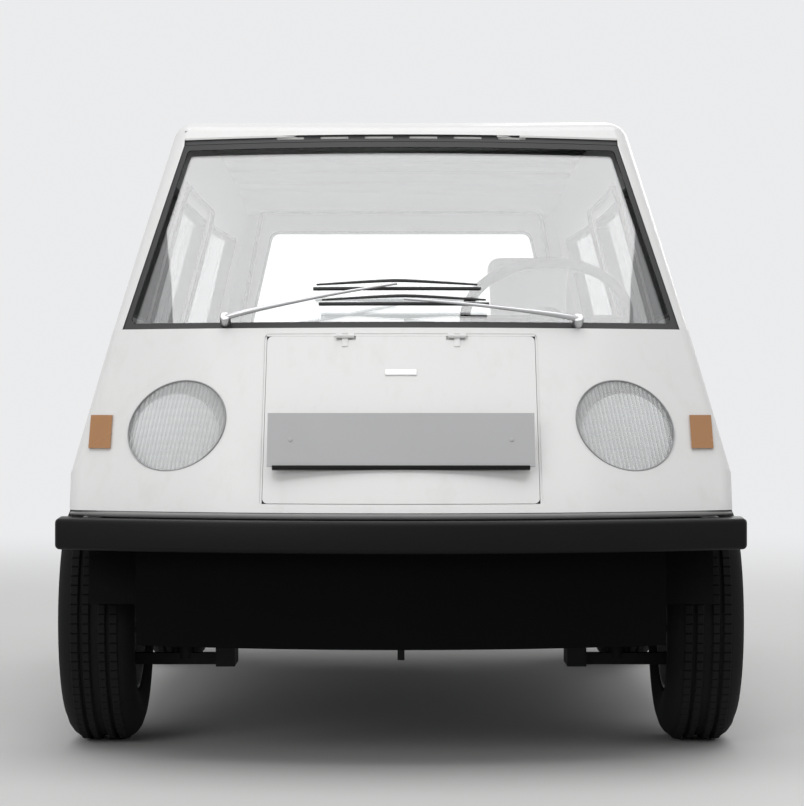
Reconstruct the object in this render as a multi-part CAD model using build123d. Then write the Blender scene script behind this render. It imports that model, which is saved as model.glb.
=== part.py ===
from build123d import *

import os
from math import cos, radians, sin, sqrt, tan

os.makedirs("parts", exist_ok=True)

# Sizes in millimetres and degrees. X runs across, Y from the nose to the tail, Z up from the ground.
overall_length = 2760
wheelbase = 1700
front_overhang = 600
body_half_width = 702
overall_height = 1380
front_axle_y = front_overhang - overall_length / 2
rear_axle_y = front_axle_y + wheelbase

# Levels of the body, from the bottom of its skirt to the gutter under the roof.
skirt_z = 340
waist_z = 500
shoulder_z = 570
belt_z = 863
gutter_z = 1270
sill_z = 250

# The shell: a tapered tub with bowed sides, a bowed and raked nose and screen, and an arched roof.
bumper_reach = 70
rear_bumper_reach = 50
nose_y = bumper_reach - overall_length / 2
tail_y = overall_length / 2 - rear_bumper_reach
side_bow = 15000
tumblehome = 15
nose_rake = 31
screen_rake = 38
nose_bow = 1600
screen_bow = nose_bow * cos(radians(nose_rake)) / cos(radians(screen_rake))
screen_y = nose_y + (belt_z - waist_z) * tan(radians(nose_rake))
roof_fall = 128
roof_crown_y = 0.054 * overall_length
roof_bow = ((tail_y - roof_crown_y) ** 2 + roof_fall**2) / (2 * roof_fall)
screen_corner_extra = 5
corner_radius = 40
wall = 36
panel_gap = 5.5
plan_spare = 250
seat_gap = 0.3
beyond = 3000

# Wheels and tyres.
tyre_radius = 265
tyre_width = 155
tyre_outer_x = 700
bead_radius = 152
wheel_x = tyre_outer_x - tyre_width / 2
axle_z = tyre_radius
arch_front = 310
arch_rear = 297
arch_lining = 15
front_well_x = 400
rear_well_x = 515

# Stub axle, kingpin and brake drum.
stub_radius = 20
hub_radius = 34
running_fit = 0.05
bead_seat = 6
vent_count = 10
vent_radius = 9
vent_depth = 12
kingpin_x = 585
kingpin_radius = 12
kingpin_eye = 20
kingpin_span = 95
upright_half = 78
drum_radius = 110
drum_depth = 34
backplate = 6

# Floor, chassis rails, battery and motor.
floor_thick = 30
rear_floor_z = 430
riser_y = rear_axle_y - 320
rail_x = 360
rail_width = 60
rail_height = 60
jack_pad_length = 80
jack_pad_depth = 8
rail_front_y = nose_y + 130
tow_lug = 22
tow_lug_thick = 14
tow_eye_radius = 11
tow_eye_low_z = 205
battery_length = 1000
battery_half_width = 318
battery_height = 100
motor_half = 160
motor_height = 190
motor_length = 300
axle_tube = 30

# Openings in the shell.
door_front_y = front_axle_y + 340
door_rear_y = rear_axle_y - 540
door_bottom_z = 372
door_top_z = 1226
door_corner = 45
door_reach_in = 300
door_swing_room = 4
gate_swing_room = 2.5
window_sill_z = 892
window_frame = 50
lid_half_width = 274
lid_bottom_z = 512
lid_top_z = 851
lid_corner = 10
gate_bottom_z = 522
gate_half_bottom = 560
gate_half_top = 405
gate_frame = 34
door_hinge_low_z = 640
door_hinge_high_z = 810
door_hinge_radius = 9
door_hinge_length = 66
lid_hinge_x = 112
lid_hinge_radius = 4
lid_hinge_length = 36
lid_hinge_room = 3.5
gate_hinge_x = 250
gate_hinge_radius = 8
gate_hinge_length = 72
hinge_leaf = 22
hinge_room = 5
screen_half_bottom = 572
screen_half_top = 469
seal_width = 12
glass_corner = 10
glass_depth = 12
glass_thick = 5
lip_z = 1287
lip_recess = 9
slot_count = 6
slot_pitch = 95
slot_width = 60
slot_low_z = 1275
slot_height = 8
slot_depth = 24

# Lamps, plate and trim.
lamp_x = 446
lamp_z = 668
lamp_radius = 104
lamp_depth = 95
marker_x = 580
marker_width = 46
marker_y = nose_y + 260
marker_low_z = 622
marker_high_z = 688
lens_proud = 5
bumper_low_z = 425
bumper_high_z = 486
bumper_side = 24
bumper_round = 14
valance_half_width = 520
valance_low_z = 237
valance_thick = 20
plate_width = 520
plate_height = 110
plate_thick = 3
plate_z = 640
plate_tilt = 20

# Cab fittings.
driver_x = 330
wheel_hub_y = front_axle_y + 360
wheel_hub_z = 905
column_rise = 50
column_radius = 20
steering_rim = 185
steering_grip = 12
bulkhead_y = nose_y + 298
bulkhead_thick = 14
dash_low_z = 700
dash_depth = 200
seat_width = 440
seat_front_y = front_axle_y + 620
seat_z = 560
seat_back_z = 1095


def z_box(low, high, y_low=-beyond, y_high=beyond, x_low=-beyond, x_high=beyond):
    """A block between two levels, with wide limits where none are given."""
    size = (x_high - x_low, y_high - y_low, high - low)
    middle = ((x_high + x_low) / 2, (y_high + y_low) / 2, (high + low) / 2)
    return Pos(*middle) * Box(*size)


def x_rod(x_low, x_high, y, z, radius):
    """A round bar along X."""
    return Pos((x_low + x_high) / 2, y, z) * Rot(0, 90, 0) * Cylinder(radius, x_high - x_low)


def side_prism(points, x_low, x_high, radius=0):
    """A prism along X of an outline given by Y and Z."""
    outline = make_face(Polyline(*points, close=True))
    if radius:
        outline = fillet(outline.vertices(), radius)
    plane = Plane(origin=(x_low, 0, 0), x_dir=(0, 1, 0), z_dir=(1, 0, 0))
    return extrude(plane * outline, amount=x_high - x_low)


def front_prism(points, y_low, y_high, radius=0):
    """A prism along Y of an outline given by X and Z."""
    outline = make_face(Polyline(*points, close=True))
    if radius:
        outline = fillet(outline.vertices(), radius)
    plane = Plane(origin=(0, y_high, 0), x_dir=(1, 0, 0), z_dir=(0, -1, 0))
    return extrude(plane * outline, amount=y_high - y_low)


def half_width(y, z=waist_z):
    """Half the body's width at a place along it, which narrows above the shoulder."""
    lean = max(z - shoulder_z, 0) * tan(radians(tumblehome))
    return body_half_width - side_bow + sqrt(side_bow**2 - y**2) - lean


def body_plan(inset, front=nose_y - plan_spare, rear=tail_y):
    """The plan at the waist: two shallow arcs for the sides, cut square at both ends."""
    disc = Circle(side_bow - inset)
    lens = (Pos(body_half_width - side_bow, 0) * disc) & (Pos(side_bow - body_half_width, 0) * disc)
    length = rear - inset - front
    return lens & (Pos(0, front + length / 2) * Rectangle(beyond, length))


def raked_drum(y, z, rake, bow, inset):
    """A drum that leans back, whose front line passes through the given place."""
    lean = radians(rake)
    middle = (0, y + bow * cos(lean), z - bow * sin(lean))
    axis = Plane(origin=middle, x_dir=(1, 0, 0), z_dir=(0, sin(lean), cos(lean)))
    return axis * Cylinder(bow - inset, 2 * beyond)


def body_levels(inset, radius=0):
    """The body's closed form with its surface moved in by inset: nose level, glass level and skirt."""
    tub = extrude(Plane.XY.offset(waist_z) * body_plan(inset), amount=shoulder_z - waist_z)
    tub += extrude(Plane.XY.offset(shoulder_z) * body_plan(inset), amount=1000, taper=tumblehome)
    lower = tub & z_box(waist_z, belt_z) & raked_drum(nose_y, waist_z, nose_rake, nose_bow, inset)
    roof = Pos(0, roof_crown_y, overall_height - roof_bow) * Rot(0, 90, 0)
    upper = tub & z_box(belt_z, beyond) & raked_drum(screen_y, belt_z, screen_rake, screen_bow, inset)
    upper = upper & (roof * Cylinder(roof_bow - inset, 2 * beyond))
    skirt = extrude(Plane.XY.offset(skirt_z) * body_plan(inset), amount=waist_z - skirt_z)
    skirt = skirt & z_box(skirt_z - 50, waist_z + 50, front_axle_y)
    if radius:
        posts = [e for e in lower.edges() if abs((e @ 0).Z - (e @ 1).Z) > 60]
        lower = fillet(posts, radius)
        posts = [e for e in upper.edges() if abs((e @ 0).Z - (e @ 1).Z) > 200]
        rails = [e for e in upper.edges() if (e @ 0.5).Z > belt_z + 200 and abs((e @ 0).Z - (e @ 1).Z) < 200]
        upper = fillet(posts + rails, radius + screen_corner_extra)
        posts = [e for e in skirt.edges().filter_by(Axis.Z) if (e @ 0).Y > rear_axle_y]
        skirt = fillet(posts, radius)
    return lower, upper, skirt


outer = body_levels(0, corner_radius)
inner = body_levels(wall)
lower_wall = outer[0] - inner[0]
upper_wall = outer[1] - inner[1]
skirt_wall = outer[2] - inner[2]
cab_room = body_levels(wall + seat_gap)
glass_skin = body_levels(glass_depth)[1] - body_levels(glass_depth + glass_thick)[1]
seal_skin = body_levels(2, corner_radius)[1] - body_levels(glass_depth + glass_thick + 6)[1]

# Openings, each an outline seen from the front or the side.
lean = radians(tumblehome)
screen_outline = [
    (-screen_half_bottom, belt_z),
    (screen_half_bottom, belt_z),
    (screen_half_top, gutter_z),
    (-screen_half_top, gutter_z),
]
screen_slope = (screen_half_bottom - screen_half_top) / (gutter_z - belt_z)
glass_half_bottom = screen_half_bottom - seal_width * (1 + screen_slope)
glass_half_top = screen_half_top - seal_width * (1 - screen_slope)
glass_outline = [
    (-glass_half_bottom, belt_z + seal_width),
    (glass_half_bottom, belt_z + seal_width),
    (glass_half_top, gutter_z - seal_width),
    (-glass_half_top, gutter_z - seal_width),
]
screen_cut = front_prism(screen_outline, -beyond, 0)
glass_cut = front_prism(glass_outline, -beyond, 0, glass_corner)


def lid_cut(gap):
    """The front lid's outline, smaller all round by gap."""
    x = lid_half_width - gap
    low = lid_bottom_z + gap
    high = lid_top_z - gap
    return front_prism([(-x, low), (x, low), (x, high), (-x, high)], -beyond, 0, lid_corner)


def gate_cut(gap, low=gate_bottom_z, high=gutter_z):
    """The tailgate's outline between two levels, smaller all round by gap."""
    slope = (gate_half_bottom - gate_half_top) / (gutter_z - gate_bottom_z)
    x_low = gate_half_bottom - slope * (low - gate_bottom_z) - gap
    x_high = gate_half_bottom - slope * (high - gate_bottom_z) - gap
    return [(-x_low, low + gap), (x_low, low + gap), (x_high, high - gap), (-x_high, high - gap)]


def door_cut(gap, swing=0):
    """The door's outline on the left side, smaller all round by gap, cut square to the leaning skin."""
    front = door_front_y + gap
    rear = door_rear_y - gap - swing
    low = (door_bottom_z - shoulder_z) * cos(lean) + gap
    high = (door_top_z - shoulder_z) / cos(lean) - gap
    outline = make_face(Polyline((front, low), (rear, low), (rear, high), (front, high), close=True))
    outline = fillet(outline.vertices(), door_corner - gap)
    plane = Plane(origin=(half_width(door_front_y), 0, shoulder_z), x_dir=(0, 1, 0), z_dir=(cos(lean), 0, sin(lean)))
    return extrude(plane.offset(-door_reach_in) * outline, amount=beyond)


def hinge(plane, length, radius, spare=hinge_room):
    """A hinge along the plane's Z for a panel towards its Y: fixed half, moving half and the room for each."""
    third = length / 3
    pin = radius / 2
    inset = 1.5 * radius
    fixed = Cylinder(pin, length)
    back = min(hinge_leaf, 2.2 * radius)
    for end in (-1, 1):
        leaf = Pos(-inset / 2 - 1, -back / 2, 0) * Box(inset - 2, back, third)
        fixed += Pos(0, 0, end * third) * (Cylinder(radius, third) + leaf)
    eye = third - 2 * seat_gap
    moving = Cylinder(radius, eye) + Pos(-inset / 2 - 1, hinge_leaf / 2, 0) * Box(inset - 2, hinge_leaf, eye)
    moving -= Cylinder(pin + running_fit, length)
    room = Cylinder(radius + spare, length + 2 * spare)
    slot = Cylinder(radius + spare, third)
    return plane * fixed, plane * moving, plane * room, plane * slot


door_hinges = []
for level in (door_hinge_low_z, door_hinge_high_z):
    place = (half_width(door_front_y, level), door_front_y, level)
    plane = Plane(origin=place, x_dir=(cos(lean), 0, sin(lean)), z_dir=(-sin(lean), 0, cos(lean)))
    door_hinges.append(hinge(plane, door_hinge_length, door_hinge_radius))
gate_hinge_z = gutter_z - panel_gap
gate_hinge_y = tail_y - (gate_hinge_z - shoulder_z) * tan(lean)
gate_hinges = []
lid_hinge_z = lid_top_z - panel_gap
lid_hinge_y = nose_y + (lid_hinge_z - waist_z) * tan(radians(nose_rake))
lid_hinges = []
for side in (1, -1):
    plane = Plane(origin=(side * gate_hinge_x, gate_hinge_y, gate_hinge_z), x_dir=(0, cos(lean), sin(lean)),
                  z_dir=(-1, 0, 0))
    gate_hinges.append(hinge(plane, gate_hinge_length, gate_hinge_radius))
    plane = Plane(origin=(side * lid_hinge_x, lid_hinge_y, lid_hinge_z),
                  x_dir=(0, -cos(radians(nose_rake)), sin(radians(nose_rake))), z_dir=(1, 0, 0))
    lid_hinges.append(hinge(plane, lid_hinge_length, lid_hinge_radius, lid_hinge_room))

# Side windows: a front quarter light behind the screen post, the door's window and a rear quarter light.
screen_post_y = nose_y + 332
quarter_slope = tan(radians(screen_rake)) * 0.97
window_top_z = door_top_z - window_frame + 8
quarter_front_y = screen_post_y + 82
rear_post = 250
rear_post_lean = 70
quarter_rise = (window_top_z - window_sill_z) * quarter_slope
front_quarter = [
    (quarter_front_y, window_sill_z),
    (door_front_y - 42, window_sill_z),
    (door_front_y - 42, window_top_z),
    (quarter_front_y + quarter_rise, window_top_z),
]
door_window = [
    (door_front_y + window_frame, window_sill_z),
    (door_rear_y - window_frame, window_sill_z),
    (door_rear_y - window_frame, window_top_z),
    (door_front_y + window_frame, window_top_z),
]
rear_quarter = [
    (door_rear_y + 60, window_sill_z),
    (tail_y - rear_post, window_sill_z),
    (tail_y - rear_post - rear_post_lean, window_top_z),
    (door_rear_y + 60, window_top_z),
]
front_quarter_cut = side_prism(front_quarter, 0, beyond, 18)
door_window_cut = side_prism(door_window, 0, beyond, 30)
rear_quarter_cut = side_prism(rear_quarter, 0, beyond, 30)
gate_window = gate_cut(gate_frame, window_sill_z - gate_frame - 40, gutter_z - 22)
gate_window_cut = front_prism(gate_window, 0, beyond, 30)


def arch(side):
    """What both wheel arches on one side cut away."""
    low, high = (front_well_x, beyond) if side > 0 else (-beyond, -front_well_x)
    return x_rod(low, high, front_axle_y, axle_z, arch_front) + x_rod(low, high, rear_axle_y, axle_z, arch_rear)


arches = arch(1) + arch(-1)
parts = {}

# The nose panel wraps the front up to the screen. Its lamps sit in round holes square to the skin.
nose_zone = z_box(0, beyond, -beyond, screen_post_y + 20)


def nose_point(x, z):
    """The place on the nose skin at a given X and Z."""
    lean = radians(nose_rake)
    sag = (nose_bow - sqrt(nose_bow**2 - x**2)) / cos(lean)
    return (x, nose_y + (z - waist_z) * tan(lean) + sag, z)


def screen_point(x, z, proud=0):
    """A place over the windscreen at a given X and Z, proud of it along its normal."""
    lean = radians(screen_rake)
    sag = (screen_bow - sqrt(screen_bow**2 - x**2)) / cos(lean)
    y = screen_y + (z - belt_z) * tan(lean) + sag
    return (x, y - proud * cos(lean), z + proud * sin(lean))


def lamp_axis(side):
    """The plane of a headlamp's rim, facing out of the nose."""
    lean = radians(nose_rake)
    turn = lamp_x / nose_bow
    flat = sqrt(1 - turn**2)
    return Plane(
        origin=nose_point(side * lamp_x, lamp_z),
        x_dir=(flat, side * turn * cos(lean), -side * turn * sin(lean)),
        z_dir=(side * turn, -flat * cos(lean), flat * sin(lean)),
    )


nose = lower_wall & nose_zone
nose = nose - arches - lid_cut(0)
for side in (1, -1):
    nose = nose - lamp_axis(side) * Cylinder(lamp_radius, 4 * wall)
for fixed, moving, room, slot in lid_hinges:
    nose = nose - slot + fixed
parts["nose_panel"] = nose

# Each headlamp is a bowl with a flush cover, round inside its hole.
lamps = []
cover_skin = body_levels(2)[0] - body_levels(8)[0]
for side in (1, -1):
    plane = lamp_axis(side)
    cover = cover_skin & (plane * Cylinder(lamp_radius - 1, 4 * wall)) & nose_zone
    bowl = revolve(
        Plane.XZ
        * make_face(
            Polyline((0, -8), (lamp_radius - 1, -8), (lamp_radius - 1, -wall), (0.45 * lamp_radius, -lamp_depth),
                     (0, -lamp_depth), close=True)
        ),
        Axis.Z,
    )
    lamps.append(cover + plane * bowl)
parts["headlamps"] = lamps

# Marker lamps wrap the front corners and tail lamps the rear ones, as patches on the skin.
proud_skin = body_levels(-lens_proud, corner_radius + lens_proud)[0]
proud_skin = proud_skin - body_levels(-seat_gap, corner_radius + seat_gap)[0]
markers = []
tails = []
for side in (1, -1):
    low, high = sorted((side * marker_x, side * (marker_x + marker_width)))
    markers.append(proud_skin & z_box(marker_low_z, marker_high_z, -beyond, marker_y, low, high))
    low, high = (gate_half_bottom - 12, beyond) if side > 0 else (-beyond, 12 - gate_half_bottom)
    tails.append(proud_skin & z_box(waist_z + 40, waist_z + 200, rear_axle_y + arch_rear, beyond, low, high))
parts["marker_lamps"] = markers
parts["tail_lamps"] = tails

# The roof, the tail panel under the gate, and the two sides with their posts.
roof = upper_wall & z_box(gutter_z, beyond)
lip_zone = z_box(0, lip_z, -beyond, 0, -screen_half_top, screen_half_top)
roof = roof - ((body_levels(-wall)[1] - body_levels(lip_recess)[1]) & lip_zone)
slot_floor = body_levels(lip_recess + slot_depth)[1]
for number in range(slot_count):
    x = (number - (slot_count - 1) / 2) * slot_pitch
    slot_zone = z_box(slot_low_z, slot_low_z + slot_height, -beyond, 0, x - slot_width / 2, x + slot_width / 2)
    roof = roof - ((body_levels(-wall)[1] - slot_floor) & slot_zone)
for fixed, moving, room, slot in gate_hinges:
    roof = roof - slot + fixed
parts["roof_panel"] = roof
tail_zone = z_box(0, gate_bottom_z, tail_y - wall - 60, beyond, -gate_half_bottom, gate_half_bottom)
parts["tail_panel"] = (lower_wall & tail_zone) + (skirt_wall & tail_zone)
gate_hole = front_prism(gate_cut(0), 600, beyond)
for side, name in ((1, "left"), (-1, "right")):
    half = lower_wall & z_box(0, beyond, screen_post_y + 20, beyond, 0)
    half = half + (upper_wall & z_box(0, gutter_z, x_low=0)) + (skirt_wall & z_box(0, beyond, x_low=0))
    half = half - tail_zone - screen_cut - gate_hole - arches
    half = half - front_quarter_cut - rear_quarter_cut - door_cut(0)
    for fixed, moving, room, slot in door_hinges:
        half = half - slot + fixed
    if side < 0:
        half = mirror(half, Plane.YZ)
    parts["body_side_" + name] = half

# Glass that doesn't move, and the rubber that holds the windscreen.
parts["windscreen"] = glass_skin & glass_cut
parts["windscreen_seal"] = seal_skin & (screen_cut - glass_cut)
quarters = []
for cut in (front_quarter_cut, rear_quarter_cut):
    pane = glass_skin & cut
    quarters += [pane, mirror(pane, Plane.YZ)]
parts["side_glass"] = quarters

# Doors: the whole wall inside the opening, with a bar handle, and the pane in its window.
handle_y = door_rear_y - 110
handle_z = 790
door_shape = door_cut(panel_gap, door_swing_room)
door = (lower_wall & door_shape) + (upper_wall & door_shape) + (skirt_wall & door_shape)
handle_x = half_width(handle_y, handle_z)
handle = Pos(handle_x + 4, handle_y, handle_z) * Box(28, 120, 22)
handle = fillet(handle.edges(), 6)
door = door - door_window_cut + (handle - inner[0])
for fixed, moving, room, slot in door_hinges:
    door = door - room + moving
pane = glass_skin & door_window_cut
for side, name in ((1, "left"), (-1, "right")):
    parts["door_" + name] = door if side > 0 else mirror(door, Plane.YZ)
    parts["door_glass_" + name] = pane if side > 0 else mirror(pane, Plane.YZ)

# The tailgate with its window, hung under the roof, and a grip above the bumper.
gate_prism = front_prism(gate_cut(panel_gap + gate_swing_room), 600, beyond)
gate_wall = (lower_wall & gate_prism) + (upper_wall & gate_prism)
gate = gate_wall - gate_window_cut
for fixed, moving, room, slot in gate_hinges:
    gate = gate - room + moving
parts["tailgate"] = gate
parts["tailgate_glass"] = glass_skin & gate_window_cut & z_box(0, beyond, 600)

# The front lid, and the blank plate on its bracket.
lid = lower_wall & nose_zone & lid_cut(panel_gap)
for fixed, moving, room, slot in lid_hinges:
    lid = lid - room + moving
parts["front_lid"] = lid
plate_y = nose_point(0, plate_z)[1] - 16
plate_plane = Plane(origin=(0, plate_y, plate_z), x_dir=(1, 0, 0),
                    z_dir=(0, -cos(radians(plate_tilt)), sin(radians(plate_tilt))))
plate = plate_plane * Box(plate_width, plate_height, plate_thick)
bracket = plate_plane * Pos(0, 0, -30) * Box(0.5 * plate_width, 0.6 * plate_height, 60 - plate_thick)
plate = plate + (bracket - body_levels(-seat_gap)[0])
parts["number_plate"] = plate


def bumper_band(front, rear, reach, side_reach, depth):
    """A bumper bar's plan: the body's outline grown outwards, less the outline itself."""
    bow = nose_bow * cos(radians(nose_rake))
    bands = []
    for grow_end, grow_side in ((reach, side_reach), (-depth, -depth)):
        plan = body_plan(-grow_side, nose_y - plan_spare, tail_y + grow_end - grow_side)
        nose_disc = Pos(0, nose_y + bow) * Circle(bow + grow_end)
        behind = Pos(0, beyond + nose_y + 300) * Rectangle(2 * beyond, 2 * beyond)
        bands.append(plan & (nose_disc + behind))
    return (bands[0] - bands[1]) & (Pos(0, (front + rear) / 2) * Rectangle(beyond, rear - front))


bumper_rise = bumper_high_z - bumper_low_z
front_band = bumper_band(-beyond, front_axle_y - arch_front - 8, bumper_reach, bumper_side, 8)
bumper = extrude(Plane.XY.offset(bumper_low_z) * front_band, amount=bumper_rise)
posts = [e for e in bumper.edges().filter_by(Axis.Z) if (e @ 0).Y < front_axle_y - arch_front - 30]
parts["front_bumper"] = fillet(posts, bumper_round)
rear_band = bumper_band(rear_axle_y + arch_rear + 8, beyond, rear_bumper_reach, bumper_side, -seat_gap)
bumper = extrude(Plane.XY.offset(bumper_low_z) * rear_band, amount=bumper_rise)
posts = [e for e in bumper.edges().filter_by(Axis.Z) if abs((e @ 0).X) > 600 and (e @ 0).Y > tail_y + 10]
parts["rear_bumper"] = fillet(posts, bumper_round)

# The valance closes the front under the nose, between the wheels.
valance_back = 8 + seat_gap
valance_bow = nose_bow * cos(radians(nose_rake))
valance = Pos(0, nose_y + valance_bow) * (Circle(valance_bow - valance_back)
                                          - Circle(valance_bow - valance_back - valance_thick))
valance = valance & (Pos(0, nose_y + 150) * Rectangle(2 * valance_half_width, 500))
parts["front_valance"] = extrude(Plane.XY.offset(valance_low_z) * valance, amount=waist_z - valance_low_z)

# Floor: a front slab, a riser, a raised rear slab and the four wheel wells.
front_floor = Plane.XY.offset(skirt_z - floor_thick)
cab_floor = body_plan(6, front_axle_y + arch_front, riser_y + 6)
toe_length = front_axle_y + arch_front - nose_y
toe_floor = Pos(0, nose_y + toe_length / 2) * Rectangle(2 * front_well_x, toe_length)
toe_floor = toe_floor & (Pos(0, nose_y + valance_bow) * Circle(valance_bow - valance_back - valance_thick - seat_gap))
floor = extrude(front_floor * (cab_floor + toe_floor), amount=floor_thick)
load_plan = body_plan(wall + seat_gap, riser_y, tail_y)
floor += extrude(Plane.XY.offset(rear_floor_z - floor_thick) * load_plan, amount=floor_thick)
riser_plan = body_plan(wall + seat_gap, riser_y, riser_y + 20 + wall)
floor += extrude(front_floor * riser_plan, amount=rear_floor_z - skirt_z + floor_thick)
well_room = extrude(Plane.XY * body_plan(wall + seat_gap), amount=waist_z) + cab_room[0]
for axle_y, radius, well_x in ((front_axle_y, arch_front, front_well_x), (rear_axle_y, arch_rear, rear_well_x)):
    for side in (1, -1):
        low, high = (well_x - arch_lining, body_half_width) if side > 0 else (-body_half_width, arch_lining - well_x)
        solid = x_rod(low, high, axle_y, axle_z, radius + arch_lining)
        floor += solid & well_room & z_box(skirt_z - floor_thick, beyond)
        low, high = (well_x, beyond) if side > 0 else (-beyond, -well_x)
        floor -= x_rod(low, high, axle_y, axle_z, radius)
parts["floor_pan"] = floor

# Chassis rails that kick up over the rear axle, with cross members.
rail_top = skirt_z - floor_thick
rear_rail_top = rear_floor_z - floor_thick
kick_front = riser_y + 20
kick_rear = kick_front + 30
rail_rear_y = tail_y - wall - 20
rail_side = [
    (rail_front_y, rail_top - rail_height),
    (kick_rear, rail_top - rail_height),
    (kick_rear, rear_rail_top - rail_height),
    (rail_rear_y, rear_rail_top - rail_height),
    (rail_rear_y, rear_rail_top),
    (kick_front, rear_rail_top),
    (kick_front, rail_top),
    (rail_front_y, rail_top),
]
rail = side_prism(rail_side, rail_x - rail_width / 2, rail_x + rail_width / 2)
frame = rail + mirror(rail, Plane.YZ)
for y, top in ((rail_front_y, rail_top), (front_axle_y + 240, rail_top), (rail_rear_y - rail_width, rear_rail_top)):
    frame += z_box(top - rail_height, top, y, y + rail_width, -rail_x, rail_x)
for y, low, top in ((rail_front_y + 6, tow_eye_low_z, rail_top - 10), (rail_rear_y - 30, rail_top - 20, rear_rail_top - 10)):
    frame += z_box(low, top, y, y + 2 * tow_lug, -tow_lug_thick / 2, tow_lug_thick / 2)
    frame -= x_rod(-tow_lug_thick, tow_lug_thick, y + tow_lug, low + tow_lug, tow_eye_radius)
pad_half = rail_width / 2 - 4
for side in (1, -1):
    pad = z_box(rail_top - rail_height - jack_pad_depth, rail_top - rail_height, door_rear_y - jack_pad_length,
                door_rear_y, side * rail_x - pad_half, side * rail_x + pad_half)
    frame += pad
parts["chassis_frame"] = frame

sill_band = body_plan(8, front_axle_y + arch_front + 10, riser_y) - body_plan(78, front_axle_y, riser_y + 100)
parts["sills"] = extrude(Plane.XY.offset(sill_z) * sill_band, amount=rail_top - sill_z)

battery_y = riser_y - 60
parts["battery_pack"] = z_box(rail_top - battery_height, rail_top, battery_y - battery_length, battery_y,
                              -battery_half_width, battery_half_width)
parts["drive_motor"] = z_box(axle_z - 85, axle_z - 85 + motor_height, rear_axle_y - motor_length / 2,
                             rear_axle_y + motor_length / 2, -motor_half, motor_half)

# The bulkhead and the dashboard across the front of the cab.
wells = x_rod(-beyond, -front_well_x + arch_lining + 2, front_axle_y, axle_z, arch_front + arch_lining + 2)
wells += x_rod(front_well_x - arch_lining - 2, beyond, front_axle_y, axle_z, arch_front + arch_lining + 2)
cab_lower = z_box(skirt_z, waist_z, x_low=-front_well_x, x_high=front_well_x)
bulkhead_zone = z_box(skirt_z, belt_z - 14, bulkhead_y - bulkhead_thick, bulkhead_y)
bulkhead = (cab_room[0] & bulkhead_zone) + (cab_lower & bulkhead_zone)
parts["front_bulkhead"] = bulkhead - wells
dash_top = belt_z - 14
dash_side = [
    (bulkhead_y, dash_low_z),
    (bulkhead_y, dash_top),
    (bulkhead_y + 0.6 * dash_depth, dash_top),
    (bulkhead_y + dash_depth, dash_top - 50),
    (bulkhead_y + 0.9 * dash_depth, dash_low_z),
]
dash = side_prism(dash_side, -body_half_width, body_half_width) & cab_room[0]
dash_edges = [e for e in dash.edges() if e.length > 700 and (e @ 0.5).Y > bulkhead_y + 10]
parts["dashboard"] = fillet(dash_edges, 12)

# Steering column from the floor to the wheel, and the wheel with its two spokes.
rise = radians(column_rise)
hub_plane = Plane(origin=(driver_x, wheel_hub_y, wheel_hub_z), x_dir=(1, 0, 0), z_dir=(0, cos(rise), sin(rise)))
column_length = (wheel_hub_z - skirt_z) / sin(rise)
hub_depth = 34
column = hub_plane * Pos(0, 0, -column_length / 2 - hub_depth) * Cylinder(column_radius, column_length)
column = column + hub_plane * Pos(0, 0, -hub_depth - 100) * Cylinder(1.7 * column_radius, 190)
parts["steering_column"] = column & z_box(skirt_z, beyond)
hand_wheel = hub_plane * Torus(steering_rim, steering_grip)
hand_wheel += hub_plane * Pos(0, 0, -hub_depth / 2 + seat_gap) * Cylinder(column_radius * 1.9, hub_depth)
hand_wheel += hub_plane * Pos(0, 0, -8) * Box(2 * steering_rim, 30, 9)
parts["steering_wheel"] = hand_wheel

# The driver's seat: a base, a cushion and a back that narrows to its top.
seat_rear_y = seat_front_y + 500
cushion = z_box(seat_z - 130, seat_z, seat_front_y, seat_rear_y, driver_x - seat_width / 2, driver_x + seat_width / 2)
cushion = fillet(cushion.edges(), 38)
back_length = (seat_back_z - seat_z + 40) / cos(radians(12))
back_plane = Plane(origin=(driver_x, seat_rear_y - 50, seat_z - 40), x_dir=(1, 0, 0),
                   z_dir=(0, sin(radians(12)), cos(radians(12))))
back_front = make_face(Polyline((-seat_width / 2, 0), (seat_width / 2, 0), (seat_width / 4, back_length),
                                (-seat_width / 4, back_length), close=True))
back_front = fillet(back_front.vertices().group_by(Axis.Y)[-1], 50)
back_face = Plane(origin=back_plane.origin, x_dir=(1, 0, 0), z_dir=-back_plane.y_dir)
back = extrude(back_face * back_front, amount=50, both=True)
back = fillet(back.edges().filter_by(lambda e: e.length > 100), 24)
base = z_box(skirt_z, seat_z - 110, seat_front_y + 60, seat_rear_y - 60, driver_x - 150, driver_x + 150)
parts["driver_seat"] = cushion + back + base

# Stub axle with its brake backplate, along +X from the kingpin or the axle tube.
hub_low_x = kingpin_x + 32
rim_outer_x = tyre_outer_x - 12


def stub(inner_x, y):
    """A stub axle for a wheel on the left, with the backplate that closes its drum."""
    piece = x_rod(inner_x, hub_low_x + 70, y, axle_z, stub_radius)
    piece += x_rod(hub_low_x - backplate - 3, hub_low_x - 3, y, axle_z, drum_radius + 5)
    piece += x_rod(hub_low_x - backplate - 12, hub_low_x - 3, y, axle_z, hub_radius)
    return piece


# Steering knuckles: an upright on the kingpin's line, its stub axle and its steering arm.
pin_half = kingpin_span + 15
knuckle = Pos(kingpin_x, front_axle_y, axle_z) * Cylinder(kingpin_eye, 2 * upright_half)
knuckle += Pos(kingpin_x, front_axle_y, axle_z) * Cylinder(kingpin_radius, 2 * pin_half)
knuckle += stub(kingpin_x, front_axle_y)
steering_arm = z_box(axle_z - 40, axle_z - 26, front_axle_y, front_axle_y + 120, kingpin_x - 40, kingpin_x - 14)
knuckle += fillet(steering_arm.edges().filter_by(Axis.Z), 8)
parts["knuckle_left"] = knuckle
parts["knuckle_right"] = mirror(knuckle, Plane.YZ)

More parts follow.
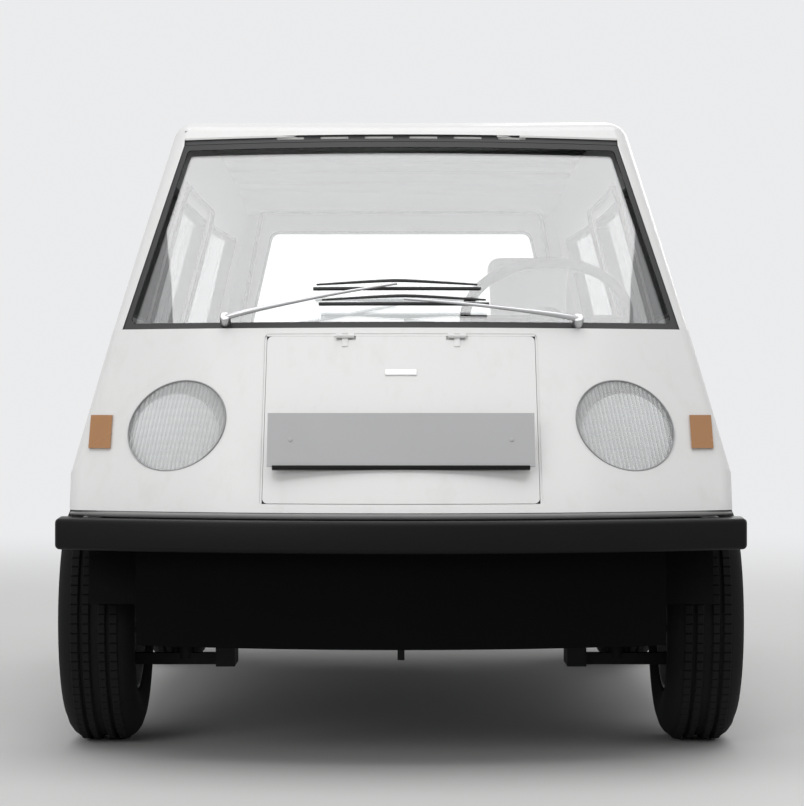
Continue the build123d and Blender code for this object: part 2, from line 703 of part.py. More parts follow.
# Front suspension: each side has a lower arm on the rail, an upper arm on a tower, and a damper.
upper_z = axle_z + kingpin_span
lower_z = axle_z - kingpin_span
rail_outer = rail_x + rail_width / 2
tower_x = front_well_x
arm_half = 14
link = z_box(lower_z - 12, lower_z + 12, front_axle_y - arm_half, front_axle_y + arm_half, rail_outer - 40, kingpin_x)
link += z_box(lower_z - 12, rail_top - rail_height, front_axle_y - 60, front_axle_y + 60, rail_outer - 40,
              rail_outer)
link += z_box(upper_z - 12, upper_z + 12, front_axle_y - arm_half, front_axle_y + arm_half, tower_x, kingpin_x)
link += z_box(rail_top, upper_z + 24, front_axle_y - 50, front_axle_y + 50, tower_x, tower_x + 16)
for level in (upper_z, lower_z):
    link += Pos(kingpin_x, front_axle_y, level) * Cylinder(kingpin_eye, 30)
for level in (upper_z, lower_z):
    link -= Pos(kingpin_x, front_axle_y, level) * Cylinder(kingpin_radius + running_fit, 60)
damper_x = front_well_x + 58
damper_rod = 18
damper_top = axle_z + sqrt(arch_front**2 - damper_rod**2) - seat_gap
link += Pos(damper_x, front_axle_y, (lower_z + damper_top) / 2) * Cylinder(damper_rod, damper_top - lower_z)
link += Pos(damper_x, front_axle_y, lower_z + 150) * Cylinder(34, 190)
parts["front_suspension"] = [link, mirror(link, Plane.YZ)]

# Rear axle: a tube each side of the motor, its stub, and a leaf spring under the rail.
spring_y = 250
spring_eye = 16
leaf_top = axle_z + axle_tube + 10
rail_under = rear_rail_top - rail_height
leaf = make_face(
    ThreePointArc((rear_axle_y - spring_y, rail_under - 8), (rear_axle_y, leaf_top), (rear_axle_y + spring_y, rail_under - 8))
    + Line((rear_axle_y + spring_y, rail_under - 8), (rear_axle_y + spring_y, rail_under - 20))
    + ThreePointArc((rear_axle_y + spring_y, rail_under - 20), (rear_axle_y, leaf_top - 14),
                    (rear_axle_y - spring_y, rail_under - 20))
    + Line((rear_axle_y - spring_y, rail_under - 20), (rear_axle_y - spring_y, rail_under - 8))
)
leaf_plane = Plane(origin=(rail_x - 25, 0, 0), x_dir=(0, 1, 0), z_dir=(1, 0, 0))
half_axle = extrude(leaf_plane * leaf, amount=50)
for end in (-1, 1):
    middle = rear_axle_y + end * (spring_y - 10)
    half_axle += z_box(rail_under - 30, rail_under, middle - 18, middle + 18, rail_x - 25, rail_x + 25)
half_axle += x_rod(motor_half, hub_low_x - 3, rear_axle_y, axle_z, axle_tube)
half_axle += stub(motor_half, rear_axle_y)
parts["rear_axle"] = [half_axle, mirror(half_axle, Plane.YZ)]

# Wheels: a steel rim with a dished and vented disc and a drum, and a tyre with round shoulders.
rim_profile = [
    (tyre_outer_x - tyre_width + 14, bead_radius),
    (tyre_outer_x - tyre_width + 14, bead_radius + bead_seat),
    (tyre_outer_x - tyre_width + 34, bead_radius + bead_seat),
    (tyre_outer_x - tyre_width + 38, bead_radius - 3),
    (tyre_outer_x - tyre_width + 50, bead_radius - 14),
    (rim_outer_x - 34, bead_radius - 14),
    (rim_outer_x - 28, bead_radius - 3),
    (rim_outer_x - 24, bead_radius + bead_seat),
    (rim_outer_x - 2, bead_radius + bead_seat),
    (rim_outer_x - 2, bead_radius - 6),
    (rim_outer_x - 14, bead_radius - 10),
    (hub_low_x + 44, drum_radius + 10),
    (hub_low_x + 62, drum_radius - 12),
    (hub_low_x + 52, hub_radius + 22),
    (hub_low_x + 58, hub_radius),
    (hub_low_x + 58, stub_radius + running_fit),
    (hub_low_x, stub_radius + running_fit),
    (hub_low_x, hub_radius),
    (hub_low_x + drum_depth, hub_radius),
    (hub_low_x + drum_depth, drum_radius - 8),
    (hub_low_x, drum_radius - 8),
    (hub_low_x, drum_radius),
    (hub_low_x + 38, drum_radius + 2),
    (hub_low_x + 40, bead_radius - 20),
    (tyre_outer_x - tyre_width + 50, bead_radius - 20),
]


def wheel_turn(profile):
    """A solid of revolution about the left front wheel's axle, from X and radius."""
    flat = make_face(Polyline(*profile, close=True))
    plane = Plane(origin=(0, front_axle_y, axle_z), x_dir=(1, 0, 0), z_dir=(0, -1, 0))
    axis = Axis((0, front_axle_y, axle_z), (1, 0, 0))
    return revolve(plane * flat, axis)


rim = wheel_turn(rim_profile)
vent_low_x = hub_low_x + 62 - vent_depth
for vent in range(vent_count):
    rim -= Pos(0, front_axle_y, axle_z) * Rot(vent * 360 / vent_count, 0, 0) * x_rod(
        vent_low_x, tyre_outer_x, 0, drum_radius, vent_radius)
tyre_inner_x = tyre_outer_x - tyre_width
crown = 4
tyre_flat = make_face(
    Polyline((tyre_inner_x + 24, bead_radius + bead_seat + seat_gap), (rim_outer_x - 12, bead_radius + bead_seat + seat_gap))
    + Line((rim_outer_x - 12, bead_radius + bead_seat + seat_gap), (rim_outer_x, bead_radius + 12))
    + ThreePointArc((rim_outer_x, bead_radius + 12), (tyre_outer_x, bead_radius + 52), (tyre_outer_x - 16, tyre_radius - 20))
    + ThreePointArc((tyre_outer_x - 16, tyre_radius - 20), (tyre_outer_x - 24, tyre_radius - 9),
                    (tyre_outer_x - 36, tyre_radius - crown))
    + ThreePointArc((tyre_outer_x - 36, tyre_radius - crown), (wheel_x, tyre_radius),
                    (tyre_inner_x + 36, tyre_radius - crown))
    + ThreePointArc((tyre_inner_x + 36, tyre_radius - crown), (tyre_inner_x + 24, tyre_radius - 9),
                    (tyre_inner_x + 16, tyre_radius - 20))
    + ThreePointArc((tyre_inner_x + 16, tyre_radius - 20), (tyre_inner_x, bead_radius + 52),
                    (tyre_inner_x + 12, bead_radius + 12))
    + Line((tyre_inner_x + 12, bead_radius + 12), (tyre_inner_x + 24, bead_radius + bead_seat + seat_gap))
)
wheel_plane = Plane(origin=(0, front_axle_y, axle_z), x_dir=(1, 0, 0), z_dir=(0, -1, 0))
tyre = revolve(wheel_plane * tyre_flat, Axis((0, front_axle_y, axle_z), (1, 0, 0)))
for name, axle_y, side in (("fl", front_axle_y, 1), ("fr", front_axle_y, -1), ("rl", rear_axle_y, 1),
                           ("rr", rear_axle_y, -1)):
    for label, piece in (("rim_", rim), ("tyre_", tyre)):
        placed = piece if side > 0 else mirror(piece, Plane.YZ)
        parts[label + name] = Pos(0, axle_y - front_axle_y, 0) * placed

# Wipers: a spindle at each end of the screen's foot, an arm, and a blade lying near the middle.
wiper_table = [
    # spindle x, spindle z, blade middle x, blade z, half length
    (-355, belt_z + 12, -8, belt_z + 78, 170),
    (358, belt_z + 9, 6, belt_z + 46, 172),
]


def bar(start, end, width, thick):
    """A flat bar between two places, its width along the screen's slope."""
    a = Vector(*start)
    b = Vector(*end)
    along = (b - a).normalized()
    normal = Vector(0, -cos(radians(screen_rake)), sin(radians(screen_rake)))
    normal = normal - along * normal.dot(along)
    return Plane(origin=(a + b) / 2, x_dir=along, z_dir=normal) * Box((b - a).length, width, thick)


wipers = []
for spindle_x, spindle_z, blade_x, blade_z, half in wiper_table:
    arm = bar(screen_point(spindle_x, spindle_z, 14), screen_point(blade_x, blade_z, 20), 9, 5)
    left = screen_point(blade_x - half, blade_z, 12)
    right = screen_point(blade_x + half, blade_z, 12)
    centre = screen_point(blade_x, blade_z, 12)
    blade = bar(left, centre, 8, 14) + bar(centre, right, 8, 14)
    lean = radians(screen_rake)
    foot = Plane(origin=screen_point(spindle_x, spindle_z, 0), x_dir=(1, 0, 0), z_dir=(0, -cos(lean), sin(lean)))
    spindle = foot * Pos(0, 0, 4) * Cylinder(10, 30)
    saddle = Plane(origin=screen_point(blade_x, blade_z, 14), x_dir=(1, 0, 0), z_dir=foot.z_dir) * Box(26, 12, 18)
    wipers.append(arm + blade + saddle + spindle - body_levels(2 - seat_gap)[1] - body_levels(-seat_gap)[0])
parts["wipers"] = wipers

for name, piece in parts.items():
    solid = Compound(children=[Part() + p for p in piece]) if isinstance(piece, list) else piece
    export_step(solid, "parts/" + name + ".step")
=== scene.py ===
import math

import bmesh
import bpy
from mathutils import Matrix, Vector


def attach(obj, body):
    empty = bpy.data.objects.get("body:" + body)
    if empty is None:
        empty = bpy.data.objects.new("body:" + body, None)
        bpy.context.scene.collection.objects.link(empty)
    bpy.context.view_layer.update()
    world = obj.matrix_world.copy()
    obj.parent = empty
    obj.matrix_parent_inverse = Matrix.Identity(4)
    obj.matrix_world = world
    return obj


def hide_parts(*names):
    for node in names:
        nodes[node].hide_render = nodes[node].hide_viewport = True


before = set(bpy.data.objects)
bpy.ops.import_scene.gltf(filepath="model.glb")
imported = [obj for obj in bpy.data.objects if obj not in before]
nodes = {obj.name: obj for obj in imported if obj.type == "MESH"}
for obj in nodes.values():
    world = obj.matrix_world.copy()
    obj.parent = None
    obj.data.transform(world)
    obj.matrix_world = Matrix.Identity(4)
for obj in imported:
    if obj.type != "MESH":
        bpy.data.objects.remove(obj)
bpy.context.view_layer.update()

# Underbody. A welded frame of box section carries the floor, the suspension, the battery and the motor.
# All of it is brushed with black chassis paint, and road dust dulls what is near the ground.


def set_inputs(node, **values):
    """Gives the inputs of a shader node their values."""
    for key, value in values.items():
        node.inputs[key.replace("_", " ")].default_value = value


def add_node(tree, kind, **values):
    """A new shader node with the values of its inputs."""
    node = tree.nodes.new("ShaderNode" + kind)
    set_inputs(node, **values)
    return node


def mix_colours(tree, first, second, factor):
    """A mix of two colours. The first may come from another node."""
    node = tree.nodes.new("ShaderNodeMix")
    node.data_type = "RGBA"
    if isinstance(first, bpy.types.NodeSocket):
        tree.links.new(first, node.inputs["A"])
    else:
        node.inputs["A"].default_value = (*first, 1)
    node.inputs["B"].default_value = (*second, 1)
    tree.links.new(factor, node.inputs["Factor"])
    return node.outputs["Result"]


def join_values(tree, operation, first, second):
    """One value reckoned from two."""
    node = add_node(tree, "Math")
    node.operation = operation
    tree.links.new(first, node.inputs[0])
    tree.links.new(second, node.inputs[1])
    return node.outputs["Value"]


def make_finish(name, colour, roughness, metallic=0.0, coat=0.0, mottle=0.08, mottle_scale=7.0, grain=0.0,
                grain_scale=300.0, dust=0.0, dust_top=0.7, gloss=0.5):
    """A finish whose shade drifts a little, with a fine grain and dust that thickens towards the road."""
    finish = bpy.data.materials.new(name)
    finish.use_nodes = True
    tree = finish.node_tree
    shader = tree.nodes["Principled BSDF"]
    set_inputs(shader, Metallic=metallic, Specular_IOR_Level=gloss, Coat_Weight=coat, Coat_Roughness=0.08)
    place = add_node(tree, "TexCoord").outputs["Object"]
    noise = add_node(tree, "TexNoise", Scale=mottle_scale, Detail=7)
    tree.links.new(place, noise.inputs["Vector"])
    drift = noise.outputs["Fac"]
    darker = [c * (1 - mottle) for c in colour]
    lighter = [min(c * (1 + mottle), 1) for c in colour]
    shade = mix_colours(tree, darker, lighter, drift)
    if dust:
        height = add_node(tree, "SeparateXYZ")
        layer = add_node(tree, "MapRange", From_Min=dust_top, From_Max=0.05, To_Max=dust)
        tree.links.new(place, height.inputs["Vector"])
        tree.links.new(height.outputs["Z"], layer.inputs["Value"])
        patches = join_values(tree, "MULTIPLY", layer.outputs["Result"], drift)
        shade = mix_colours(tree, shade, (0.26, 0.25, 0.23), patches)
    tree.links.new(shade, shader.inputs["Base Color"])
    sheen = add_node(tree, "MapRange", To_Min=max(roughness - 0.06, 0.02), To_Max=min(roughness + 0.1, 1))
    tree.links.new(drift, sheen.inputs["Value"])
    tree.links.new(sheen.outputs["Result"], shader.inputs["Roughness"])
    if grain:
        pores = add_node(tree, "TexNoise", Scale=grain_scale, Detail=3)
        relief = add_node(tree, "Bump", Strength=grain, Distance=0.001)
        tree.links.new(place, pores.inputs["Vector"])
        tree.links.new(pores.outputs["Fac"], relief.inputs["Height"])
        tree.links.new(relief.outputs["Normal"], shader.inputs["Normal"])
    return finish


def dress(names, finish):
    """Puts a finish on CAD nodes."""
    for name in names:
        for holder in nodes[name].material_slots:
            holder.material = finish


chassis_paint = make_finish("chassis_paint", (0.010, 0.010, 0.011), 0.7, grain=0.3, dust=0.03, dust_top=0.35,
                            gloss=0.2)
cast_paint = make_finish("cast_paint", (0.03, 0.03, 0.032), 0.65, metallic=0.3, grain=0.7, grain_scale=180,
                         dust=0.06)
# Underseal on the floor pan: near-black and dull, partly painted shade for the shade in the wheel wells.
underseal_and_shade = make_finish("underseal_and_shade", (0.006, 0.006, 0.0065), 0.9, grain=0.9, grain_scale=160, gloss=0.1)
board_paint = make_finish("board_paint", (0.07, 0.07, 0.073), 0.6, grain=0.3)
tray_plastic = make_finish("tray_plastic", (0.02, 0.02, 0.023), 0.5, grain=0.5, dust=0.05)
dress(["chassis_frame", "front_suspension", "rear_axle"], chassis_paint)
dress(["knuckle_left", "knuckle_right", "drive_motor"], cast_paint)
dress(["floor_pan"], underseal_and_shade)
dress(["front_bulkhead"], board_paint)
dress(["battery_pack"], tray_plastic)

# Coil springs. A spring of wound steel wire, enamelled black, stands round each front damper, between the
# lower arm and the wheel well.


def let_go():
    """Leaves nothing in hand, before a piece is added."""
    bpy.ops.object.select_all(action="DESELECT")


def take(piece):
    """Makes one piece the only thing in hand."""
    let_go()
    piece.select_set(True)
    bpy.context.view_layer.objects.active = piece


def named(name):
    """The piece just added, with its name."""
    piece = bpy.context.object
    piece.name = name
    piece.data.name = name
    return piece


def harden(piece, kind, **settings):
    """Adds one modifier and applies it."""
    take(piece)
    step = piece.modifiers.new(kind.lower(), kind)
    for key, value in settings.items():
        setattr(step, key, value)
    bpy.ops.object.modifier_apply(modifier=step.name)


def settle(piece, body, finish, angle=35):
    """Places a piece for good: its mesh in the vehicle's frame, its finish, and the body that carries it."""
    take(piece)
    bpy.ops.object.transform_apply()
    bpy.ops.object.shade_smooth_by_angle(angle=math.radians(angle))
    piece.data.materials.clear()
    piece.data.materials.append(finish)
    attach(piece, body)


def leave_edit():
    """Goes back from a piece's mesh to the piece."""
    bpy.ops.object.mode_set(mode="OBJECT")


def pick(piece, kind, test):
    """In edit mode, selects the points, edges or faces that pass a test."""
    take(piece)
    bpy.ops.object.mode_set(mode="EDIT")
    bpy.ops.mesh.select_mode(type=kind)
    bpy.ops.mesh.select_all(action="DESELECT")
    mesh = bmesh.from_edit_mesh(piece.data)
    items = {"VERT": mesh.verts, "EDGE": mesh.edges, "FACE": mesh.faces}[kind]
    for item in items:
        item.select_set(test(item))
    mesh.select_flush_mode()
    bmesh.update_edit_mesh(piece.data)


def close_edit(piece, merge=0.00002):
    """Merges what lies together, turns the faces outwards and leaves edit mode."""
    bpy.ops.mesh.select_all(action="SELECT")
    bpy.ops.mesh.remove_doubles(threshold=merge)
    bpy.ops.mesh.normals_make_consistent(inside=False)
    leave_edit()


both_sides = ((1, "left"), (-1, "right"))
front_axle_y = -0.78
damper_x = 0.458
coil_radius = 0.041
coil_pitch = 0.027
spring_wire = make_finish("spring_wire", (0.02, 0.02, 0.02), 0.4, metallic=0.3, dust=0.05)
for side, hand in both_sides:
    let_go()
    bpy.ops.mesh.primitive_circle_add(vertices=10, radius=0.005, location=(coil_radius, 0, 0),
                                      rotation=(math.pi / 2, 0, 0))
    coil = named("coil_spring_" + hand)
    bpy.ops.object.transform_apply()
    harden(coil, "SCREW", axis="Z", angle=2 * math.pi, screw_offset=coil_pitch, iterations=6, steps=20,
           render_steps=20)
    coil.location = (side * damper_x, front_axle_y, 0.222)
    settle(coil, "body", spring_wire, 60)

# Battery straps. Two straps, bent from flat galvanised strip, run under the battery's tray and up its sides
# to hold it to the floor.
zinc_strip = make_finish("zinc_strip", (0.30, 0.30, 0.31), 0.4, metallic=0.8, mottle=0.15, dust=0.1)
strap_z = 0.2085
strap_span = 0.642
for number, place_y in enumerate((-0.20, 0.34)):
    let_go()
    bpy.ops.mesh.primitive_plane_add(size=1, location=(0, place_y, strap_z))
    strap = named(f"battery_strap_{number}")
    strap.scale = (strap_span, 0.040, 1)
    bpy.ops.object.transform_apply()
    for side, hand in both_sides:
        pick(strap, "EDGE", lambda edge: all(side * point.co.x > 0.3 and point.co.z < strap_z + 0.0015
                                             for point in edge.verts))
        bpy.ops.mesh.extrude_region_move(TRANSFORM_OT_translate={"value": (side * 0.0005, 0, 0.088)})
        leave_edit()
    harden(strap, "SOLIDIFY", thickness=0.0025, offset=0)
    harden(strap, "BEVEL", width=0.0008, segments=2)
    settle(strap, "body", zinc_strip)

# Motor fins. The motor at the rear axle is cooled by upright fins down both sides of its casting,
# made in one with it and painted the same grey black.
rear_axle_y = 0.92
fin_pitch = 0.025
fin_count = 11
first_fin_y = rear_axle_y - fin_pitch * (fin_count - 1) / 2


def add_block(name, place, size):
    """A plain block at a place."""
    let_go()
    bpy.ops.mesh.primitive_cube_add(size=1, location=place, scale=size)
    piece = named(name)
    bpy.ops.object.transform_apply()
    return piece


fins = add_block("motor_fins", (0, first_fin_y, 0.275), (0.350, 0.006, 0.165))
harden(fins, "BEVEL", width=0.0018, segments=2)
harden(fins, "ARRAY", count=fin_count, use_relative_offset=False, use_constant_offset=True,
       constant_offset_displace=(0, fin_pitch, 0))
settle(fins, "body", cast_paint)

# Tyres. Each is a black rubber tyre moulded in one and seated on the steel rim. Its worn road tread has four
# ribs cut into blocks on a rounded crown, and a raised ring runs round the sidewall.
tyre_rubber = make_finish("tyre_rubber", (0.010, 0.010, 0.0105), 0.9, grain=0.5, grain_scale=220, mottle=0.2,
                          dust=0.04, dust_top=0.2, gloss=0.15)
tyre_section = [
    # across from the wheel's middle plane, radius
    (-0.053, 0.1585), (-0.066, 0.166), (-0.0755, 0.190), (-0.0772, 0.207), (-0.0755, 0.224),
    (-0.070, 0.240), (-0.0622, 0.2505), (-0.0525, 0.2575), (-0.048, 0.2592), (-0.031, 0.2602),
    (-0.029, 0.2562), (-0.0255, 0.2562), (-0.0235, 0.2605), (-0.009, 0.2608), (-0.007, 0.2565),
    (0.007, 0.2565), (0.009, 0.2608), (0.0235, 0.2605), (0.0255, 0.2562), (0.029, 0.2562),
    (0.031, 0.2602), (0.048, 0.2592), (0.0525, 0.2575), (0.0622, 0.2505), (0.070, 0.240),
    (0.0752, 0.226), (0.0757, 0.2235), (0.0770, 0.2225), (0.0774, 0.207), (0.0764, 0.1925),
    (0.0752, 0.1915), (0.0745, 0.187), (0.066, 0.166), (0.053, 0.1585),
]
tread_blocks = 84
rib_radius = 0.2597


def turn_section(name, section, steps):
    """A ring turned about X from a section of places across and radii."""
    let_go()
    bpy.ops.mesh.primitive_plane_add(size=0.001)
    ring = named(name)
    bpy.ops.object.mode_set(mode="EDIT")
    bpy.ops.mesh.select_mode(type="VERT")
    bpy.ops.mesh.select_all(action="SELECT")
    bpy.ops.mesh.delete(type="ONLY_FACE")
    bpy.ops.mesh.select_all(action="SELECT")
    bpy.ops.mesh.merge(type="CENTER")
    bpy.ops.transform.translate(value=(section[0][0], 0, section[0][1]))
    for before, after in zip(section, section[1:]):
        step = (after[0] - before[0], 0, after[1] - before[1])
        bpy.ops.mesh.extrude_region_move(TRANSFORM_OT_translate={"value": step})
    bpy.ops.mesh.select_all(action="SELECT")
    bpy.ops.mesh.spin(steps=steps, angle=2 * math.pi, center=(0, 0, 0), axis=(1, 0, 0))
    close_edit(ring)
    return ring


tyre_model = turn_section("tyre_model", tyre_section + tyre_section[:1], tread_blocks)


def on_rib(face):
    """True for the faces on top of the tread's ribs."""
    place = face.calc_center_median()
    return abs(math.hypot(place.y, place.z) - rib_radius) < 0.0022 and face.calc_area() > 0.0001


pick(tyre_model, "FACE", on_rib)
bpy.ops.mesh.inset(thickness=0.0016, depth=0.0042, use_individual=True)
leave_edit()
wheel_x = 0.6225
tyre_radius = 0.265
wheel_places = {
    "fl": (wheel_x, front_axle_y, tyre_radius, 1),
    "fr": (-wheel_x, front_axle_y, tyre_radius, -1),
    "rl": (wheel_x, rear_axle_y, tyre_radius, 1),
    "rr": (-wheel_x, rear_axle_y, tyre_radius, -1),
}


def copy_to(piece, name, place, turn=(0, 0, 0)):
    """A copy with its own mesh, moved and turned."""
    take(piece)
    twin = piece.copy()
    twin.data = piece.data.copy()
    bpy.context.collection.objects.link(twin)
    twin.name = name
    twin.data.name = name
    twin.location = place
    twin.rotation_euler = turn
    return twin


for corner, (x, y, z, side) in wheel_places.items():
    tread = copy_to(tyre_model, "tyre_tread_" + corner, (x, y, z), (0, 0, 0 if side > 0 else math.pi))
    settle(tread, "wheel_" + corner, tyre_rubber)
    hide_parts("tyre_" + corner)
bpy.data.objects.remove(tyre_model)

# Wheel fittings. The pressed steel wheels are sprayed silver grey. Four hexagon nuts hold each one, round a
# bright pressed cap over the hub.
rim_paint = make_finish("rim_paint", (0.42, 0.42, 0.43), 0.38, metallic=0.5, coat=0.3, dust=0.3,
                        dust_top=0.55)
bright_steel = make_finish("bright_steel", (0.62, 0.62, 0.64), 0.2, metallic=1.0, mottle=0.05, grain=0.05)
nut_circle = 0.056
dish_x = 0.0515
dress(["rim_" + corner for corner in wheel_places], rim_paint)


def add_rod(name, sides, radius, depth):
    """A plain bar, round or with flat sides, along Z."""
    let_go()
    bpy.ops.mesh.primitive_cylinder_add(vertices=sides, radius=radius, depth=depth)
    return named(name)


nut_model = add_rod("nut_model", 6, 0.0105, 0.012)
harden(nut_model, "BEVEL", width=0.0012, segments=2)
let_go()
bpy.ops.mesh.primitive_uv_sphere_add(segments=40, ring_count=20, radius=0.040)
cap_model = named("cap_model")
pick(cap_model, "VERT", lambda point: True)
bpy.ops.mesh.bisect(plane_co=(0, 0, 0), plane_no=(0, 0, 1), use_fill=True, clear_inner=True)
leave_edit()
cap_model.scale = (1, 1, 0.45)
for corner, (x, y, z, side) in wheel_places.items():
    face_x = x + side * dish_x
    cap = copy_to(cap_model, "hub_cap_" + corner, (face_x, y, z), (0, side * math.pi / 2, 0))
    settle(cap, "wheel_" + corner, bright_steel)
    for number in range(4):
        angle = math.radians(45 + 90 * number)
        nut = copy_to(nut_model, f"wheel_nut_{corner}_{number}",
                      (face_x, y + nut_circle * math.cos(angle), z + nut_circle * math.sin(angle)),
                      (angle, math.pi / 2, 0))
        settle(nut, "wheel_" + corner, bright_steel)
for model in (nut_model, cap_model):
    bpy.data.objects.remove(model)

# Body paint. The shell is pale off-white enamel, a little chalky with age, with faint wash marks on the nose
# and a film of road dust on the skirt. Inside, the same enamel shows round the doors.


def make_enamel():
    """Old white enamel, with wash streaks that run down it."""
    enamel = make_finish("white_enamel", (0.72, 0.72, 0.71), 0.30, coat=0.30, mottle=0.02, mottle_scale=3.0,
                         dust=0.22, dust_top=0.56)
    tree = enamel.node_tree
    paint = tree.nodes["Principled BSDF"].inputs["Base Color"]
    stretch = add_node(tree, "Mapping", Scale=(22, 22, 3.5), Rotation=(0, math.radians(12), 0))
    streak = add_node(tree, "TexNoise", Scale=1.0, Detail=8, Roughness=0.65)
    limit = add_node(tree, "MapRange", From_Min=0.52, From_Max=0.80, To_Max=0.22)
    tree.links.new(tree.nodes["Texture Coordinate"].outputs["Object"], stretch.inputs["Vector"])
    tree.links.new(stretch.outputs["Vector"], streak.inputs["Vector"])
    tree.links.new(streak.outputs["Fac"], limit.inputs["Value"])
    film = mix_colours(tree, paint.links[0].from_socket, (0.50, 0.49, 0.46), limit.outputs["Result"])
    tree.links.new(film, paint)
    return enamel


white_enamel = make_enamel()
dress(["nose_panel", "front_lid", "body_side_left", "body_side_right", "roof_panel", "tail_panel",
       "door_left", "door_right", "tailgate"], white_enamel)

# Nose edges. A white steel lip stiffens the nose panel inside its lower edge, and a folded rebate behind the
# lid's opening leaves only a fine joint round it.
nose_rake = math.radians(31)
nose_bow = 1.6
nose_foot_y = -1.31
waist_z = 0.5


def nose_place(x, z, sunk=0.0):
    """A place on the nose at a given X and Z, sunk along its normal."""
    sag = (nose_bow - math.sqrt(nose_bow ** 2 - x ** 2)) / math.cos(nose_rake)
    y = nose_foot_y + (z - waist_z) * math.tan(nose_rake) + sag
    return Vector((x, y + sunk * math.cos(nose_rake), z - sunk * math.sin(nose_rake)))


def bar_along(name, places, radii, finish, angle=60):
    """A bar on the body through places, thicker or thinner on the way: a bevelled curve, made a mesh."""
    curve = bpy.data.curves.new(name, "CURVE")
    curve.dimensions = "3D"
    curve.bevel_depth = 1.0
    curve.bevel_resolution = 3
    curve.use_fill_caps = True
    line = curve.splines.new("NURBS")
    line.points.add(len(places) - 1)
    for point, place, radius in zip(line.points, places, radii):
        point.co = (*place, 1)
        point.radius = radius
    line.order_u = 3
    line.use_endpoint_u = True
    piece = bpy.data.objects.new(name, curve)
    bpy.context.collection.objects.link(piece)
    take(piece)
    bpy.ops.object.convert(target="MESH")
    bar = bpy.context.object
    settle(bar, "body", finish, angle)
    return bar


lip_x = [-0.640, -0.625, -0.45, -0.15, 0.15, 0.45, 0.625, 0.640]
lip_sunk = [0.075, 0.012, 0.009, 0.009, 0.009, 0.009, 0.012, 0.075]
bar_along("nose_lip", [nose_place(x, waist_z + 0.004, sunk) for x, sunk in zip(lip_x, lip_sunk)],
          [0.0075] * len(lip_x), white_enamel)


def strip_between(name, start, end, width, deep, high):
    """A strip on edge between two places on the nose, with its outer face just under the skin."""
    let_go()
    bpy.ops.mesh.primitive_grid_add(x_subdivisions=16, y_subdivisions=2, size=1)
    strip = named(name)
    for point in strip.data.vertices:
        part = point.co.x + 0.5
        across = point.co.y * width
        x = start[0] + (end[0] - start[0]) * part
        z = start[1] + (end[1] - start[1]) * part
        if abs(end[0] - start[0]) > abs(end[1] - start[1]):
            z += across
        else:
            x += across
        point.co = nose_place(x, z, high)
    pick(strip, "FACE", lambda face: True)
    bpy.ops.mesh.extrude_region_move(TRANSFORM_OT_translate={"value": (0, deep, 0)})
    close_edit(strip)
    settle(strip, "body", white_enamel, 40)


lid_side = 0.274
lid_low = 0.512
lid_high = 0.851
for side, hand in both_sides:
    edge = side * (lid_side - 0.0022)
    strip_between("lid_rebate_" + hand, (edge, lid_low + 0.003), (edge, lid_high - 0.003), 0.0047, 0.024,
                  0.0022)
for name, z, deep in (("lid_rebate_high", lid_high - 0.0024, 0.008),
                      ("lid_rebate_low", lid_low + 0.0024, 0.020)):
    strip_between(name, (0.004 - lid_side, z), (lid_side - 0.004, z), 0.0049, deep, 0.0007)

# Nose foot. The nose panel's lower edge is rolled back round a wire. Its grey is partly dirt thrown up from
# the bumper and partly painted shade, for the shade that falls on the roll under the nose.
foot_dirt_and_shade = make_finish("foot_dirt_and_shade", (0.30, 0.30, 0.295), 0.5, mottle=0.15, mottle_scale=18, grain=0.1)
foot_x = [-0.655 + 0.0655 * number for number in range(21)]
bar_along("nose_foot_roll", [nose_place(x, waist_z - 0.0025, 0.0075) for x in foot_x],
          [0.003] + [0.0068] * (len(foot_x) - 2) + [0.003], foot_dirt_and_shade)

# Screen header. Under the roof's overhanging lip a dark rubber section, with the cab's air slots through it,
# closes the joint to the screen.


def copy_node(node, name):
    """A copy of a CAD node with its points merged, left in edit mode."""
    take(nodes[node])
    twin = nodes[node].copy()
    twin.data = nodes[node].data.copy()
    for key in list(twin.keys()):
        del twin[key]
    bpy.context.collection.objects.link(twin)
    twin.parent = None
    twin.matrix_world = Matrix.Identity(4)
    twin.name = name
    twin.data.name = name
    take(twin)
    bpy.ops.object.mode_set(mode="EDIT")
    bpy.ops.mesh.select_all(action="SELECT")
    bpy.ops.mesh.remove_doubles(threshold=0.00005)
    return twin


def line_node(node, name, finish, body, test, thick=0.004):
    """A thin lining over those faces of a CAD node that pass a test."""
    lining = copy_node(node, name)
    leave_edit()
    pick(lining, "FACE", lambda face: not test(face.calc_center_median(), face.normal))
    bpy.ops.mesh.delete(type="FACE")
    leave_edit()
    harden(lining, "SOLIDIFY", thickness=thick, offset=1)
    settle(lining, body, finish, 40)


header_rubber = make_finish("header_rubber", (0.045, 0.045, 0.047), 0.6, mottle=0.15, grain=0.2)
header_low = 1.2705
header_high = 1.2873
header_half = 0.4685
line_node("roof_panel", "screen_header", header_rubber, "body",
          lambda place, normal: (normal.y < -0.5 and header_low < place.z < header_high and place.y < -0.5
                                 and abs(place.x) < header_half), 0.003)

# Black trim. The bumpers, the sills and the valance are moulded black plastic with a fine grain.
# The valance and sills are darker and duller than the bumpers: painted shade for the shade under the bumper.
# The screen is held in a black rubber section.
black_plastic = make_finish("black_plastic", (0.0045, 0.0045, 0.005), 0.42, grain=0.4, grain_scale=500,
                            gloss=0.14)
# Valance and sills: black plastic, darkened further as painted shade for the shade under the bumper.
valance_black_and_shade = make_finish("valance_black_and_shade", (0.003, 0.003, 0.0033), 0.85, grain=0.3, gloss=0.05)
seal_rubber = make_finish("seal_rubber", (0.018, 0.018, 0.019), 0.55, grain=0.25, mottle=0.2)


